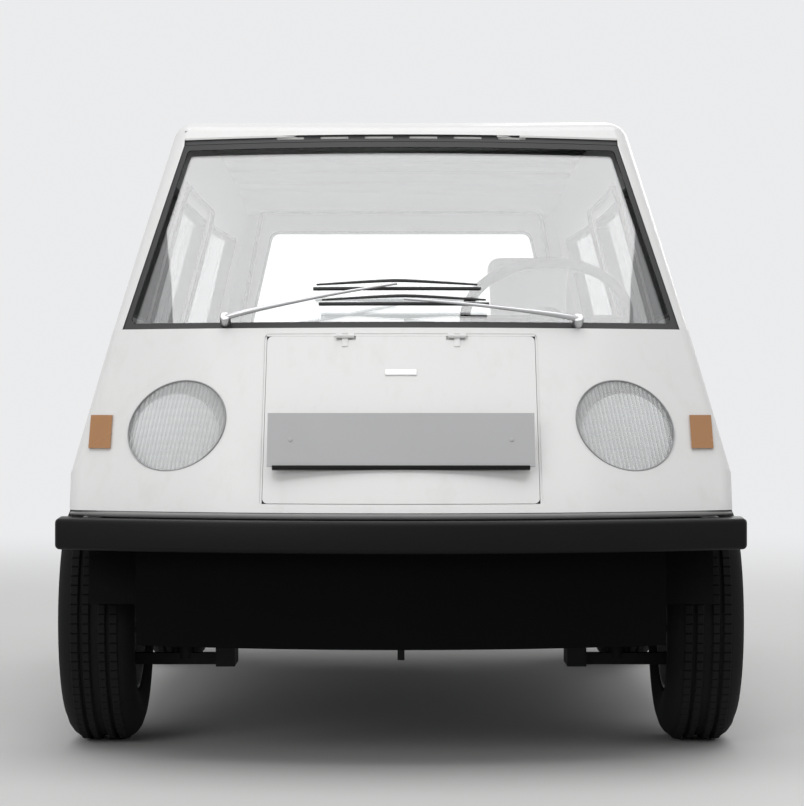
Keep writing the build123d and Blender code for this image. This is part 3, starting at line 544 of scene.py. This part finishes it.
def soften_node(node, name, finish, width):
    """A copy of a CAD node with its edges rounded off, in place of the node."""
    soft = copy_node(node, name)
    bpy.ops.mesh.dissolve_limited(angle_limit=math.radians(1.0))
    leave_edit()
    harden(soft, "BEVEL", width=width, segments=4, limit_method="ANGLE", angle_limit=math.radians(40))
    settle(soft, "body", finish, 40)
    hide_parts(node)


soften_node("front_bumper", "front_bumper_bar", black_plastic, 0.009)
soften_node("rear_bumper", "rear_bumper_bar", black_plastic, 0.009)
dress(["front_valance", "sills"], valance_black_and_shade)
dress(["windscreen_seal"], seal_rubber)

# Glass. The windscreen, the side windows and the tailgate's pane are clear safety glass.


def make_glass(name, colour, roughness):
    """Clear glass that keeps its colour on the shader."""
    glass = bpy.data.materials.new(name)
    glass.use_nodes = True
    tree = glass.node_tree
    shader = tree.nodes["Principled BSDF"]
    set_inputs(shader, Base_Color=(*colour, 1), Transmission_Weight=1, IOR=1.45)
    place = add_node(tree, "TexCoord")
    smear = add_node(tree, "TexNoise", Scale=9, Detail=6)
    spread = add_node(tree, "MapRange", To_Min=roughness, To_Max=roughness * 1.15 + 0.003)
    tree.links.new(place.outputs["Object"], smear.inputs["Vector"])
    tree.links.new(smear.outputs["Fac"], spread.inputs["Value"])
    tree.links.new(spread.outputs["Result"], shader.inputs["Roughness"])
    return glass


window_glass = make_glass("window_glass", (0.95, 0.97, 0.96), 0.0)
screen_glass = make_glass("screen_glass", (0.95, 0.96, 0.96), 0.0)
set_inputs(screen_glass.node_tree.nodes["Principled BSDF"], Coat_Weight=1, Coat_IOR=1.9, Coat_Roughness=0.02)
dress(["windscreen"], screen_glass)
dress(["side_glass", "door_glass_left", "door_glass_right", "tailgate_glass"], window_glass)

# Window rubbers. A black rubber channel is pressed into each window opening and grips the edge of its pane.


def rub_window(node, name, body, middle, test):
    """A rubber channel in a window: a lining on the faces of a CAD node that look at the window's middle."""
    middle = Vector(middle)

    def looks_in(place, normal):
        ahead = middle - place
        return normal.dot(ahead) > 0.3 * ahead.length and test(place, normal)

    line_node(node, name, seal_rubber, body, looks_in, 0.007)


window_low = 0.88
window_high = 1.19
side_windows = [
    # node, rubber, body, middle of the window, from Y, to Y
    ("door_{}", "door_window_rubber_{}", "door_{}", (0.58, -0.03, 1.038), -0.40, 0.34),
    ("body_side_{}", "front_light_rubber_{}", "body", (0.58, -0.62, 1.03), -0.905, -0.478),
    ("body_side_{}", "rear_light_rubber_{}", "body", (0.57, 0.75, 1.038), 0.436, 1.084),
]
for side, hand in both_sides:
    for node, name, body, (x, y, z), first_y, last_y in side_windows:
        rub_window(node.format(hand), name.format(hand), body.format(hand), (side * x, y, z),
                   lambda place, normal: (abs(normal.x) < 0.45 and window_low < place.z < window_high
                                          and first_y < place.y < last_y))
rub_window("tailgate", "rear_window_rubber", "tailgate", (0, 1.2, 1.03),
           lambda place, normal: abs(normal.y) < 0.55 and 0.80 < place.z < 1.245 and abs(place.x) < 0.475)

# Lamps at the corners. The markers are amber and the tail lamps red, moulded with fine upright ribs.


def make_lens(name, colour):
    """Coloured lens plastic with upright ribs moulded in it."""
    lens = make_finish(name, colour, 0.25, coat=0.3, mottle=0.03, mottle_scale=3.0)
    tree = lens.node_tree
    shader = tree.nodes["Principled BSDF"]
    set_inputs(shader, Transmission_Weight=0.1)
    ribs = add_node(tree, "TexWave", Scale=95)
    ribs.bands_direction = "X"
    relief = add_node(tree, "Bump", Strength=0.2, Distance=0.0008)
    tree.links.new(tree.nodes["Texture Coordinate"].outputs["Object"], ribs.inputs["Vector"])
    tree.links.new(ribs.outputs["Fac"], relief.inputs["Height"])
    tree.links.new(relief.outputs["Normal"], shader.inputs["Normal"])
    return lens


amber_lens = make_lens("amber_lens", (0.40, 0.19, 0.07))
red_lens = make_lens("red_lens", (0.40, 0.03, 0.03))
dress(["marker_lamps"], amber_lens)
dress(["tail_lamps"], red_lens)

# Number plate. A blank pressed plate, painted grey, is screwed to a bracket on the lid that tips it up a
# little. A black strip closes the bracket under it, and a small bare plate is riveted to the lid above.
plate_paint = make_finish("plate_paint", (0.44, 0.44, 0.445), 0.42, mottle=0.04, grain=0.08, grain_scale=150)
dress(["number_plate"], plate_paint)
plate_lean = math.radians(20)
plate_z = 0.640
plate_middle = Vector((0, nose_place(0, plate_z).y - 0.016, plate_z))
plate_up = Vector((0, math.sin(plate_lean), math.cos(plate_lean)))
plate_out = Vector((0, -math.cos(plate_lean), math.sin(plate_lean)))


def lay_box(name, middle, up, out, size, bevel, finish, body="body"):
    """A block with softened edges: across, up and out of a surface."""
    let_go()
    bpy.ops.mesh.primitive_cube_add(size=1)
    block = named(name)
    block.scale = size
    bpy.ops.object.transform_apply(location=False, rotation=False, scale=True)
    harden(block, "BEVEL", width=bevel, segments=3)
    across = up.cross(out)
    block.matrix_world = Matrix.Translation(middle) @ Matrix((across, up, out)).transposed().to_4x4()
    settle(block, body, finish)


def lay_stud(name, middle, out, radius, height, finish, body="body", sides=24):
    """A round head with a softened rim, standing out of a surface."""
    stud = add_rod(name, sides, radius, height)
    harden(stud, "BEVEL", width=height * 0.3, segments=2)
    stud.matrix_world = Matrix.Translation(middle) @ out.to_track_quat("Z", "Y").to_matrix().to_4x4()
    settle(stud, body, finish)


lay_box("plate_strip", plate_middle - plate_up * 0.0575 + plate_out * 0.0002, plate_up, plate_out,
        (0.500, 0.007, 0.012), 0.0015, black_plastic, "front_lid")
for side, hand in both_sides:
    screw_place = plate_middle + Vector((side * 0.215, 0, 0)) + plate_out * 0.002
    lay_stud("plate_screw_" + hand, screw_place, plate_out, 0.0045, 0.0016, plate_paint,
             "front_lid")
nose_up = Vector((0, math.sin(nose_rake), math.cos(nose_rake)))
nose_out = Vector((0, -math.cos(nose_rake), math.sin(nose_rake)))
bare_metal = make_finish("bare_metal", (0.80, 0.80, 0.80), 0.3, metallic=0.4, mottle=0.03)
lay_box("bare_badge_plate", nose_place(0, 0.772, -0.0012), nose_up, nose_out, (0.062, 0.013, 0.0022), 0.0007,
        bare_metal, "front_lid")

# Headlamps. A flush glass cover with upright flutes closes each round hole, in a rubber ring. Behind it a
# sealed lamp stands in a dark bowl, more upright than the nose, so its upper edge lies deeper.
lamp_x = 0.446
lamp_z = 0.668
cover_radius = 0.1018
flute_pitch = 0.0084
flute_lean = math.radians(9)
lamp_lean = math.radians(12)
lamp_glass = make_glass("fluted_glass", (0.95, 0.96, 0.96), 0.12)
set_inputs(lamp_glass.node_tree.nodes["Principled BSDF"], Transmission_Weight=0.74)
# The bowl's dark grey is partly painted shade: it deepens the shade in the bowl's top, above the lamp.
bowl_grey_and_shade = make_finish("bowl_grey_and_shade", (0.16, 0.16, 0.165), 0.5, mottle=0.05)
ring_rubber = make_finish("ring_rubber", (0.30, 0.30, 0.305), 0.5, mottle=0.1)
mirror_metal = make_finish("mirror_metal", (0.88, 0.88, 0.89), 0.45, metallic=0.3, mottle=0.03)
bowl_section = [(-0.004, 0.1028), (-0.012, 0.1028), (-0.070, 0.1012), (-0.088, 0.080), (-0.0915, 0.001)]
ring_section = [(-0.004, 0.1018), (0.0008, 0.1018), (0.0011, 0.1027), (0.0006, 0.1037), (-0.004, 0.1037)]
unit_section = [(0.006, 0.001), (0.005, 0.030), (0.002, 0.070), (-0.001, 0.088), (-0.005, 0.090),
                (-0.010, 0.088), (-0.030, 0.052), (-0.032, 0.001)]


def nose_frame(x, z, sunk=0.0):
    """Axes on the nose: across it, up it and out of it."""
    turn = x / nose_bow
    flat = math.sqrt(1 - turn ** 2)
    out = Vector((turn, -flat * math.cos(nose_rake), flat * math.sin(nose_rake)))
    across = Vector((flat, turn * math.cos(nose_rake), -turn * math.sin(nose_rake)))
    up = out.cross(across)
    matrix = Matrix((across, up, out)).transposed().to_4x4()
    return Matrix.Translation(nose_place(x, z, sunk)) @ matrix


flutes = int(2 * cover_radius / flute_pitch)
sheet_width = 2 * cover_radius + 0.004
column = sheet_width / (flutes * 4)
stand_up = Matrix.Rotation(math.pi / 2, 4, "X")
turn_out = Matrix.Rotation(-math.pi / 2, 4, "Y")
for side, hand in both_sides:
    let_go()
    bpy.ops.mesh.primitive_grid_add(x_subdivisions=flutes * 4, y_subdivisions=10, size=sheet_width)
    cover = named("lamp_cover_" + hand)
    for phase, lift in ((1, 0.0008), (2, 0.0014), (3, 0.0008)):
        pick(cover, "VERT", lambda point: round(point.co.x / column + flutes * 2) % 4 == phase)
        bpy.ops.transform.translate(value=(0, 0, -lift))
        leave_edit()
    harden(cover, "SOLIDIFY", thickness=0.003, offset=-1)
    cutter = add_rod("cover_cutter", 72, cover_radius, 0.05)
    harden(cover, "BOOLEAN", operation="INTERSECT", object=cutter, solver="EXACT")
    bpy.data.objects.remove(cutter)
    take(cover)
    cover.matrix_world = stand_up @ Matrix.Rotation(side * flute_lean, 4, "Z")
    bpy.ops.object.transform_apply(location=False, rotation=True, scale=False)
    harden(cover, "SIMPLE_DEFORM", deform_method="BEND", deform_axis="Z", angle=2 * cover_radius / nose_bow)
    cover.matrix_world = nose_frame(side * lamp_x, lamp_z, 0.001) @ stand_up.inverted()
    settle(cover, "body", lamp_glass, 50)
    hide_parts("headlamps")

    bowl = turn_section("lamp_bowl_" + hand, bowl_section, 64)
    harden(bowl, "SOLIDIFY", thickness=0.0015, offset=0)
    bowl.matrix_world = nose_frame(side * lamp_x, lamp_z) @ turn_out
    settle(bowl, "body", bowl_grey_and_shade, 60)

    ring = turn_section("lamp_seal_" + hand, ring_section + ring_section[:1], 72)
    ring.matrix_world = nose_frame(side * lamp_x, lamp_z) @ turn_out
    settle(ring, "body", ring_rubber, 60)

    unit = turn_section("sealed_lamp_" + hand, unit_section, 64)
    unit.matrix_world = (Matrix.Translation(nose_place(side * lamp_x, lamp_z - 0.002, 0.044))
                         @ Matrix.Rotation(-lamp_lean, 4, "X") @ Matrix.Rotation(-math.pi / 2, 4, "Z"))
    settle(unit, "body", mirror_metal, 40)

# Door fittings. A black grip is pressed over each pull, with a lock barrel under it, and a hollow rubber
# section follows the inner edge of each opening, so that the joint is dark and dry.
side_lean = math.radians(15)
shoulder_z = 0.570
half_width = 0.702
side_bow = 15.0
tail_y = 1.330


def side_place(y, z, sunk=0.0, side=1):
    """A place on the body's side at a given Y and Z, sunk along its normal."""
    tilt = side_lean if z > shoulder_z else 0.0
    bow = side_bow - math.sqrt(side_bow ** 2 - y ** 2)
    x = half_width - bow - max(z - shoulder_z, 0) * math.tan(side_lean)
    return Vector((side * (x - sunk * math.cos(tilt)), y, z - sunk * math.sin(tilt)))


def tail_place(x, z, sunk=0.0):
    """A place on the tail at a given X and Z, sunk along its normal."""
    y = tail_y - max(z - shoulder_z, 0) * math.tan(side_lean)
    return Vector((x, y - sunk * math.cos(side_lean), z - sunk * math.sin(side_lean)))


def side_axes(side):
    """The directions up and out of the body's side."""
    return (Vector((-side * math.sin(side_lean), 0, math.cos(side_lean))),
            Vector((side * math.cos(side_lean), 0, math.sin(side_lean))))


def seal_round(name, corners, parts, place_of, radius):
    """A rubber section on the body round the corners of an opening, with points at parts of each edge."""
    route = []
    for (start, foot), (end, head) in zip(corners, corners[1:]):
        route += [place_of(start + (end - start) * part, foot + (head - foot) * part) for part in parts]
    route.append(place_of(*corners[-1]))
    bar_along(name, route, [radius] * len(route), seal_rubber)


lock_metal = make_finish("lock_metal", (0.5, 0.5, 0.51), 0.3, metallic=0.9, mottle=0.05)
grip_y = 0.270
for side, hand in both_sides:
    side_up, side_out = side_axes(side)
    lay_box("door_grip_" + hand, side_place(grip_y, 0.790, -0.004, side), side_up, side_out,
            (0.126, 0.027, 0.034), 0.006, black_plastic, "door_" + hand)
    lay_stud("door_lock_" + hand, side_place(grip_y, 0.742, 0.0, side), side_out, 0.010, 0.005, lock_metal,
             "door_" + hand)
    seal_round("door_seal_" + hand,
               [(-0.395, 0.378), (0.335, 0.378), (0.374, 0.415), (0.374, 1.180), (0.335, 1.218),
                (-0.395, 1.218), (-0.434, 1.180), (-0.434, 0.415), (-0.395, 0.378)],
               (0, 0.25, 0.5, 0.75), lambda y, z: side_place(y, z, 0.0425, side), 0.0055)

# Drip rails. A rolled steel gutter runs along each side under the roof's edge, spot-welded and painted
# with it.
rail_y = [-0.640 + 0.1175 * number for number in range(15)]
for side, hand in both_sides:
    bar_along("drip_rail_" + hand, [side_place(y, 1.2585, 0.0006, side) for y in rail_y],
              [0.0012] + [0.0042] * (len(rail_y) - 2) + [0.0012], white_enamel)

# Tail fittings. The tailgate carries a blank plate under a small black lamp and a pull, and shuts on a hollow
# rubber section round its opening.
tail_up = Vector((0, -math.sin(side_lean), math.cos(side_lean)))
tail_out = Vector((0, math.cos(side_lean), math.sin(side_lean)))
lay_box("rear_plate", tail_place(0, 0.700, -0.0045), tail_up, tail_out, (0.520, 0.110, 0.003), 0.001,
        plate_paint, "tailgate")
lay_box("rear_plate_lamp", tail_place(0, 0.775, -0.012), tail_up, tail_out, (0.110, 0.026, 0.026), 0.005,
        black_plastic, "tailgate")
pull_z = 0.588
lay_box("tailgate_pull", tail_place(0, pull_z, -0.009), tail_up, tail_out, (0.150, 0.030, 0.020), 0.006,
        black_plastic, "tailgate")
lay_stud("tailgate_lock", tail_place(0.105, pull_z, -0.001), tail_out, 0.010, 0.006, lock_metal,
         "tailgate")
seal_round("tailgate_seal",
           [(-0.554, 0.528), (0.554, 0.528), (0.401, 1.279), (-0.401, 1.279), (-0.554, 0.528)],
           (0, 0.04, 0.25, 0.5, 0.75, 0.96), lambda x, z: tail_place(x, z, 0.0430), 0.0065)

# Charging flap. A small square door in the left rear wing hides the charging socket. It is pressed steel,
# painted with the body, on a piano hinge.
side_up, side_out = side_axes(1)
flap_z = 0.700
lay_box("charge_flap", side_place(0.640, flap_z, -0.0010), side_up, side_out, (0.140, 0.130, 0.0028), 0.0010,
        white_enamel)
lay_box("charge_flap_hinge", side_place(0.566, flap_z, -0.0018), side_up, side_out, (0.006, 0.110, 0.005),
        0.0015, white_enamel)
lay_stud("charge_flap_lock", side_place(0.695, flap_z, -0.0030), side_out, 0.007, 0.004, lock_metal)

# Wipers. Bright steel arms rise from a spindle at each end of the screen's foot. Each carries a black blade
# on an arched yoke near the middle, the one over the other.
screen_rake = math.radians(38)
screen_bow = nose_bow * math.cos(nose_rake) / math.cos(screen_rake)
belt_z = 0.863
screen_foot_y = nose_foot_y + (belt_z - waist_z) * math.tan(nose_rake)


def screen_place(x, z, proud=0.0):
    """A place over the windscreen at a given X and Z, proud of it."""
    sag = (screen_bow - math.sqrt(screen_bow ** 2 - x ** 2)) / math.cos(screen_rake)
    y = screen_foot_y + (z - belt_z) * math.tan(screen_rake) + sag
    return Vector((x, y - proud * math.cos(screen_rake), z + proud * math.sin(screen_rake)))


arm_steel = make_finish("arm_steel", (0.58, 0.58, 0.59), 0.3, metallic=0.9, mottle=0.05)
blade_rubber = make_finish("blade_rubber", (0.02, 0.02, 0.021), 0.5, mottle=0.15)
wiper_layout = {
    # spindle x, spindle z, blade middle x, blade z, half length
    "right": (-0.355, 0.875, -0.008, 0.941, 0.170),
    "left": (0.358, 0.872, 0.006, 0.909, 0.172),
}
for hand, (foot_x, foot_z, mid_x, blade_z, half) in wiper_layout.items():
    share = [foot_x + (mid_x - foot_x) * part for part in (0, 0.06, 0.3, 0.7, 1)]
    rise = [foot_z + (blade_z - foot_z) * part for part in (0, 0.06, 0.3, 0.7, 1)]
    proud = [0.016, 0.021, 0.024, 0.026, 0.021]
    arm = bar_along("wiper_arm_" + hand, [screen_place(x, z, up) for x, z, up in zip(share, rise, proud)],
                    [0.0062, 0.0062, 0.0045, 0.0030, 0.0028], arm_steel, 50)
    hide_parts("wipers")
    blade_x = [mid_x + half * part for part in (-1, -0.5, 0, 0.5, 1)]
    bar_along("wiper_blade_" + hand, [screen_place(x, blade_z, 0.005) for x in blade_x],
              [0.0038] * len(blade_x), blade_rubber, 50)
    yoke_x = [mid_x + half * part for part in (-0.96, -0.55, -0.1, 0.1, 0.55, 0.96)]
    yoke_up = [0.009, 0.015, 0.021, 0.021, 0.015, 0.009]
    bar_along("wiper_yoke_" + hand, [screen_place(x, blade_z + 0.006, up) for x, up in zip(yoke_x, yoke_up)],
              [0.0020, 0.0028, 0.0034, 0.0034, 0.0028, 0.0020], blade_rubber, 50)
    spindle = add_rod("wiper_spindle_" + hand, 32, 0.011, 0.024)
    harden(spindle, "BEVEL", width=0.003, segments=3)
    spindle.location = screen_place(foot_x, foot_z, 0.010)
    spindle.rotation_euler = (math.pi / 2 - screen_rake, 0, 0)
    settle(spindle, "body", arm_steel)

# Cab. A grained black dashboard crosses the bulkhead, and the steering wheel stands on its column before the
# only seat.
dash_plastic = make_finish("dash_plastic", (0.035, 0.035, 0.036), 0.6, grain=0.6, grain_scale=260)
wheel_plastic = make_finish("wheel_plastic", (0.014, 0.014, 0.015), 0.45, grain=0.1, mottle=0.1)
dress(["dashboard"], dash_plastic)
dress(["steering_wheel", "steering_column"], wheel_plastic)

# Headlining and cards. Pale cloth lines the roof, and light grey boards cover the walls and doors inside.
ceiling_cloth = make_finish("ceiling_cloth", (0.82, 0.82, 0.80), 0.85, grain=0.5, grain_scale=600,
                            mottle=0.04)
card_board = make_finish("card_board", (0.42, 0.42, 0.41), 0.6, grain=0.5, grain_scale=350, mottle=0.06)
card_top = 0.885
line_node("roof_panel", "headlining", ceiling_cloth, "body",
          lambda place, normal: normal.z < -0.45 and place.z > 1.2735 and place.y > -0.735)
for side, hand in both_sides:
    line_node("door_" + hand, "door_card_" + hand, card_board, "door_" + hand,
              lambda place, normal: side * normal.x < -0.7 and place.z < card_top)
    line_node("body_side_" + hand, "wall_card_" + hand, card_board, "body",
              lambda place, normal: side * normal.x < -0.7 and place.z < card_top and place.y > 0.3)

# Cab floor. A grained black rubber mat covers the cab floor, and a grey one the raised load floor.
mat_rubber = make_finish("mat_rubber", (0.045, 0.045, 0.046), 0.7, grain=0.8, grain_scale=120)
load_lino = make_finish("load_lino", (0.22, 0.22, 0.22), 0.6, grain=0.3, grain_scale=200, mottle=0.1)
line_node("floor_pan", "cab_mat", mat_rubber, "body",
          lambda place, normal: (normal.z > 0.9 and place.z < 0.36 and -1.0 < place.y < 0.59
                                 and abs(place.x) < 0.62))
line_node("floor_pan", "load_mat", load_lino, "body",
          lambda place, normal: normal.z > 0.9 and 0.40 < place.z < 0.45 and place.y > 0.60)

# Controls. A dial in a turned bezel and three rocker switches sit in the dashboard's slope, a stalk stands on
# the column, two pedals hang from the bulkhead, and the handbrake rises beside the seat.
dial_black = make_finish("dial_black", (0.01, 0.01, 0.011), 0.4, mottle=0.05)
dial_white = make_finish("dial_white", (0.75, 0.75, 0.72), 0.5, mottle=0.02)
slope = math.atan2(0.050, 0.080)
slope_out = Vector((0, math.sin(slope), math.cos(slope)))
slope_up = Vector((0, -math.cos(slope), math.sin(slope)))
slope_y = -0.852
slope_z = 0.824
dial_middle = Vector((0.33, slope_y, slope_z)) + slope_out * 0.001
bezel = turn_section("dial_bezel", [(0.0, 0.030), (0.006, 0.0305), (0.0075, 0.0325), (0.006, 0.0345),
                                    (0.0, 0.035), (0.0, 0.030)], 48)
bezel.matrix_world = Matrix.Translation(dial_middle) @ slope_out.to_track_quat("X", "Y").to_matrix().to_4x4()
settle(bezel, "body", bright_steel, 60)
lay_stud("dial_face", dial_middle + slope_out * 0.001, slope_out, 0.0303, 0.003, dial_black,
         sides=48)


def dial_way(degrees):
    """The direction on the dial that is turned by an angle from its top."""
    angle = math.radians(degrees)
    return slope_up * math.cos(angle) + Vector((1, 0, 0)) * math.sin(angle)


dial_zero = -130
for number in range(11):
    tick_up = dial_way(dial_zero + 26 * number)
    lay_box(f"dial_tick_{number}", dial_middle + slope_out * 0.0028 + tick_up * 0.0245, tick_up, slope_out,
            (0.0012, 0.005, 0.0006), 0.0001, dial_white)
needle_up = dial_way(dial_zero)
lay_box("dial_needle", dial_middle + slope_out * 0.0042 + needle_up * 0.009, needle_up, slope_out,
        (0.0016, 0.026, 0.0008), 0.0002, amber_lens)
for number in range(3):
    switch_place = Vector((0.205 - 0.034 * number, slope_y, slope_z)) + slope_out * 0.003
    lay_box(f"rocker_switch_{number}", switch_place, slope_up, slope_out, (0.020, 0.030, 0.010), 0.002,
            black_plastic)
bar_along("column_stalk", [(0.35, -0.474, 0.842), (0.40, -0.478, 0.846), (0.445, -0.470, 0.858),
                           (0.470, -0.462, 0.868)],
          [0.0045, 0.0042, 0.0042, 0.0065], black_plastic)
pedal_lean = math.radians(40)
pedal_out = Vector((0, math.cos(pedal_lean), math.sin(pedal_lean)))
pedal_up = Vector((0, -math.sin(pedal_lean), math.cos(pedal_lean)))
for number, pedal_x in enumerate((0.225, 0.435)):
    bar_along(f"pedal_arm_{number}", [(pedal_x, -0.990, 0.600), (pedal_x, -0.930, 0.520),
                                      (pedal_x, -0.870, 0.440), (pedal_x, -0.850, 0.418)],
              [0.007, 0.007, 0.006, 0.006], chassis_paint)
    lay_box(f"pedal_pad_{number}", Vector((pedal_x, -0.843, 0.420)), pedal_up, pedal_out,
            (0.060, 0.055, 0.012), 0.003, mat_rubber)
brake_x = 0.055
bar_along("handbrake_lever", [(brake_x, 0.110, 0.345), (brake_x, 0.060, 0.400), (brake_x, -0.040, 0.470),
                              (brake_x, -0.120, 0.520)],
          [0.009, 0.008, 0.007, 0.007], chassis_paint)
bar_along("handbrake_grip", [(brake_x, -0.060, 0.484), (brake_x, -0.075, 0.4925), (brake_x, -0.120, 0.520),
                             (brake_x, -0.150, 0.540)],
          [0.009, 0.012, 0.013, 0.012], wheel_plastic)
brake_boot = turn_section("handbrake_boot", [(0.0, 0.045), (0.008, 0.044), (0.016, 0.034), (0.026, 0.026),
                                             (0.040, 0.018), (0.052, 0.013)], 32)
harden(brake_boot, "SOLIDIFY", thickness=0.002, offset=0)
brake_boot.matrix_world = Matrix.Translation((brake_x, 0.105, 0.343)) @ turn_out
settle(brake_boot, "body", mat_rubber, 60)

# Driver's seat. A sprung cushion and a back that narrows to its top, in grey vinyl over foam, on a steel box.
seat_vinyl = make_finish("seat_vinyl", (0.50, 0.50, 0.50), 0.5, grain=0.5, grain_scale=260, mottle=0.06)
seat_x = 0.33
seat_y = 0.09


def stuff(pad, swell):
    """Swells a closed form like foam under its cover, no further than swell."""
    harden(pad, "REMESH", mode="VOXEL", voxel_size=0.009, use_smooth_shade=True)
    harden(pad, "SMOOTH", iterations=6, factor=0.6)
    start = [point.co.copy() for point in pad.data.vertices]
    take(pad)
    cloth = pad.modifiers.new("foam", "CLOTH")
    cloth.settings.quality = 5
    cloth.settings.use_pressure = True
    cloth.settings.uniform_pressure_force = 4.0
    cloth.settings.effector_weights.gravity = 0
    cloth.settings.tension_stiffness = 25
    cloth.settings.compression_stiffness = 25
    for step in range(1, 17):
        bpy.context.scene.frame_set(step)
    bpy.ops.object.modifier_apply(modifier=cloth.name)
    bpy.context.scene.frame_set(1)
    for point, before in zip(pad.data.vertices, start):
        shift = point.co - before
        if shift.length > swell:
            point.co = before + shift.normalized() * swell


cushion = add_block("seat_cushion", (seat_x, seat_y, 0.495), (0.41, 0.47, 0.105))
harden(cushion, "BEVEL", width=0.035, segments=4)
stuff(cushion, 0.014)
settle(cushion, "body", seat_vinyl, 60)
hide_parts("driver_seat")

back_rest = add_block("seat_back", (0, 0, 0.2925), (0.41, 0.085, 0.575))
pick(back_rest, "VERT", lambda point: point.co.z > 0)
bpy.ops.transform.resize(value=(0.54, 0.8, 1), center_override=(0, 0, 0))
leave_edit()
harden(back_rest, "BEVEL", width=0.035, segments=4)
stuff(back_rest, 0.012)
back_rest.location = (seat_x, 0.295, 0.535)
back_rest.rotation_euler = (math.radians(-12), 0, 0)
settle(back_rest, "body", seat_vinyl, 60)

let_go()
bpy.ops.mesh.primitive_cube_add(size=1, location=(seat_x, seat_y, 0.392), scale=(0.30, 0.38, 0.104))
seat_box = named("seat_box")
harden(seat_box, "BEVEL", width=0.006, segments=2)
pick(seat_box, "FACE", lambda face: abs(face.normal.x) > 0.9 and face.calc_area() > 0.01)
bpy.ops.mesh.inset(thickness=0.02, depth=-0.006, use_individual=True)
leave_edit()
settle(seat_box, "body", chassis_paint)

# Stage. A pale floor and an even soft light, with the camera low before the nose, as in the photograph.
# The floor fades into the backdrop far behind the van.
floor_pale = make_finish("floor_pale", (0.62, 0.62, 0.61), 0.8, mottle=0.03, mottle_scale=1.5, grain=0.15,
                         gloss=0.2)
backdrop_tone = (0.83, 0.835, 0.845)
paper = floor_pale.node_tree
spot = paper.nodes["Texture Coordinate"]
reach = add_node(paper, "VectorMath")
reach.operation = "LENGTH"
fade = add_node(paper, "MapRange", From_Min=1.5, From_Max=9.0)
fade.interpolation_type = "SMOOTHERSTEP"
far_glow = add_node(paper, "Emission", Color=(*backdrop_tone, 1))
joined = add_node(paper, "MixShader")
paper.links.new(spot.outputs["Object"], reach.inputs[0])
paper.links.new(reach.outputs["Value"], fade.inputs["Value"])
eye_ray = add_node(paper, "LightPath").outputs["Is Camera Ray"]
far = join_values(paper, "MULTIPLY", fade.outputs["Result"], eye_ray)
paper.links.new(far, joined.inputs["Fac"])
paper.links.new(paper.nodes["Principled BSDF"].outputs["BSDF"], joined.inputs[1])
paper.links.new(far_glow.outputs["Emission"], joined.inputs[2])
paper.links.new(joined.outputs["Shader"], paper.nodes["Material Output"].inputs["Surface"])
let_go()
bpy.ops.mesh.primitive_plane_add(size=80)
ground = named("ground")
ground.data.materials.append(floor_pale)

world = bpy.data.worlds.new("studio")
bpy.context.scene.world = world
world.use_nodes = True
sky = world.node_tree
glow = sky.nodes["Background"]
glow.inputs["Color"].default_value = (*backdrop_tone, 1)
rays = add_node(sky, "LightPath").outputs
level = add_node(sky, "Mix", A=0.60, B=1.0)
seen = join_values(sky, "MAXIMUM", rays["Is Camera Ray"], rays["Is Transmission Ray"])
mirrored = join_values(sky, "MAXIMUM", seen, rays["Is Glossy Ray"])
sky.links.new(mirrored, level.inputs["Factor"])
sky.links.new(level.outputs["Result"], glow.inputs["Strength"])


def add_softbox(name, place, aim, size, power):
    """A large soft light aimed at a place."""
    light = bpy.data.lights.new(name, "AREA")
    light.shape = "RECTANGLE"
    light.size = size[0]
    light.size_y = size[1]
    light.energy = power
    holder = bpy.data.objects.new(name, light)
    bpy.context.collection.objects.link(holder)
    holder.location = place
    holder.rotation_euler = (Vector(aim) - Vector(place)).to_track_quat("-Z", "Y").to_euler()


add_softbox("sky_light", (0, -1.5, 6.5), (0, 0, 0.5), (7, 7), 260)
add_softbox("front_light", (-4, -8, 3.5), (0, -0.5, 0.7), (4, 3), 130)
add_softbox("back_light", (3, 7, 4), (0, 0.5, 0.7), (5, 3), 120)

photo_width = 804
focal_pixels = 2490
lens = bpy.data.cameras.new("photo_view")
lens.sensor_fit = "HORIZONTAL"
lens.sensor_width = 36
lens.lens = focal_pixels / photo_width * lens.sensor_width
lens.shift_x = 1 / photo_width
lens.shift_y = 7 / photo_width
camera = bpy.data.objects.new("photo_view", lens)
bpy.context.collection.objects.link(camera)
camera.location = (0, -6.08, 0.698)
camera.rotation_euler = (math.pi / 2, 0, 0)
bpy.context.scene.camera = camera
bpy.context.scene.view_settings.view_transform = "Standard"
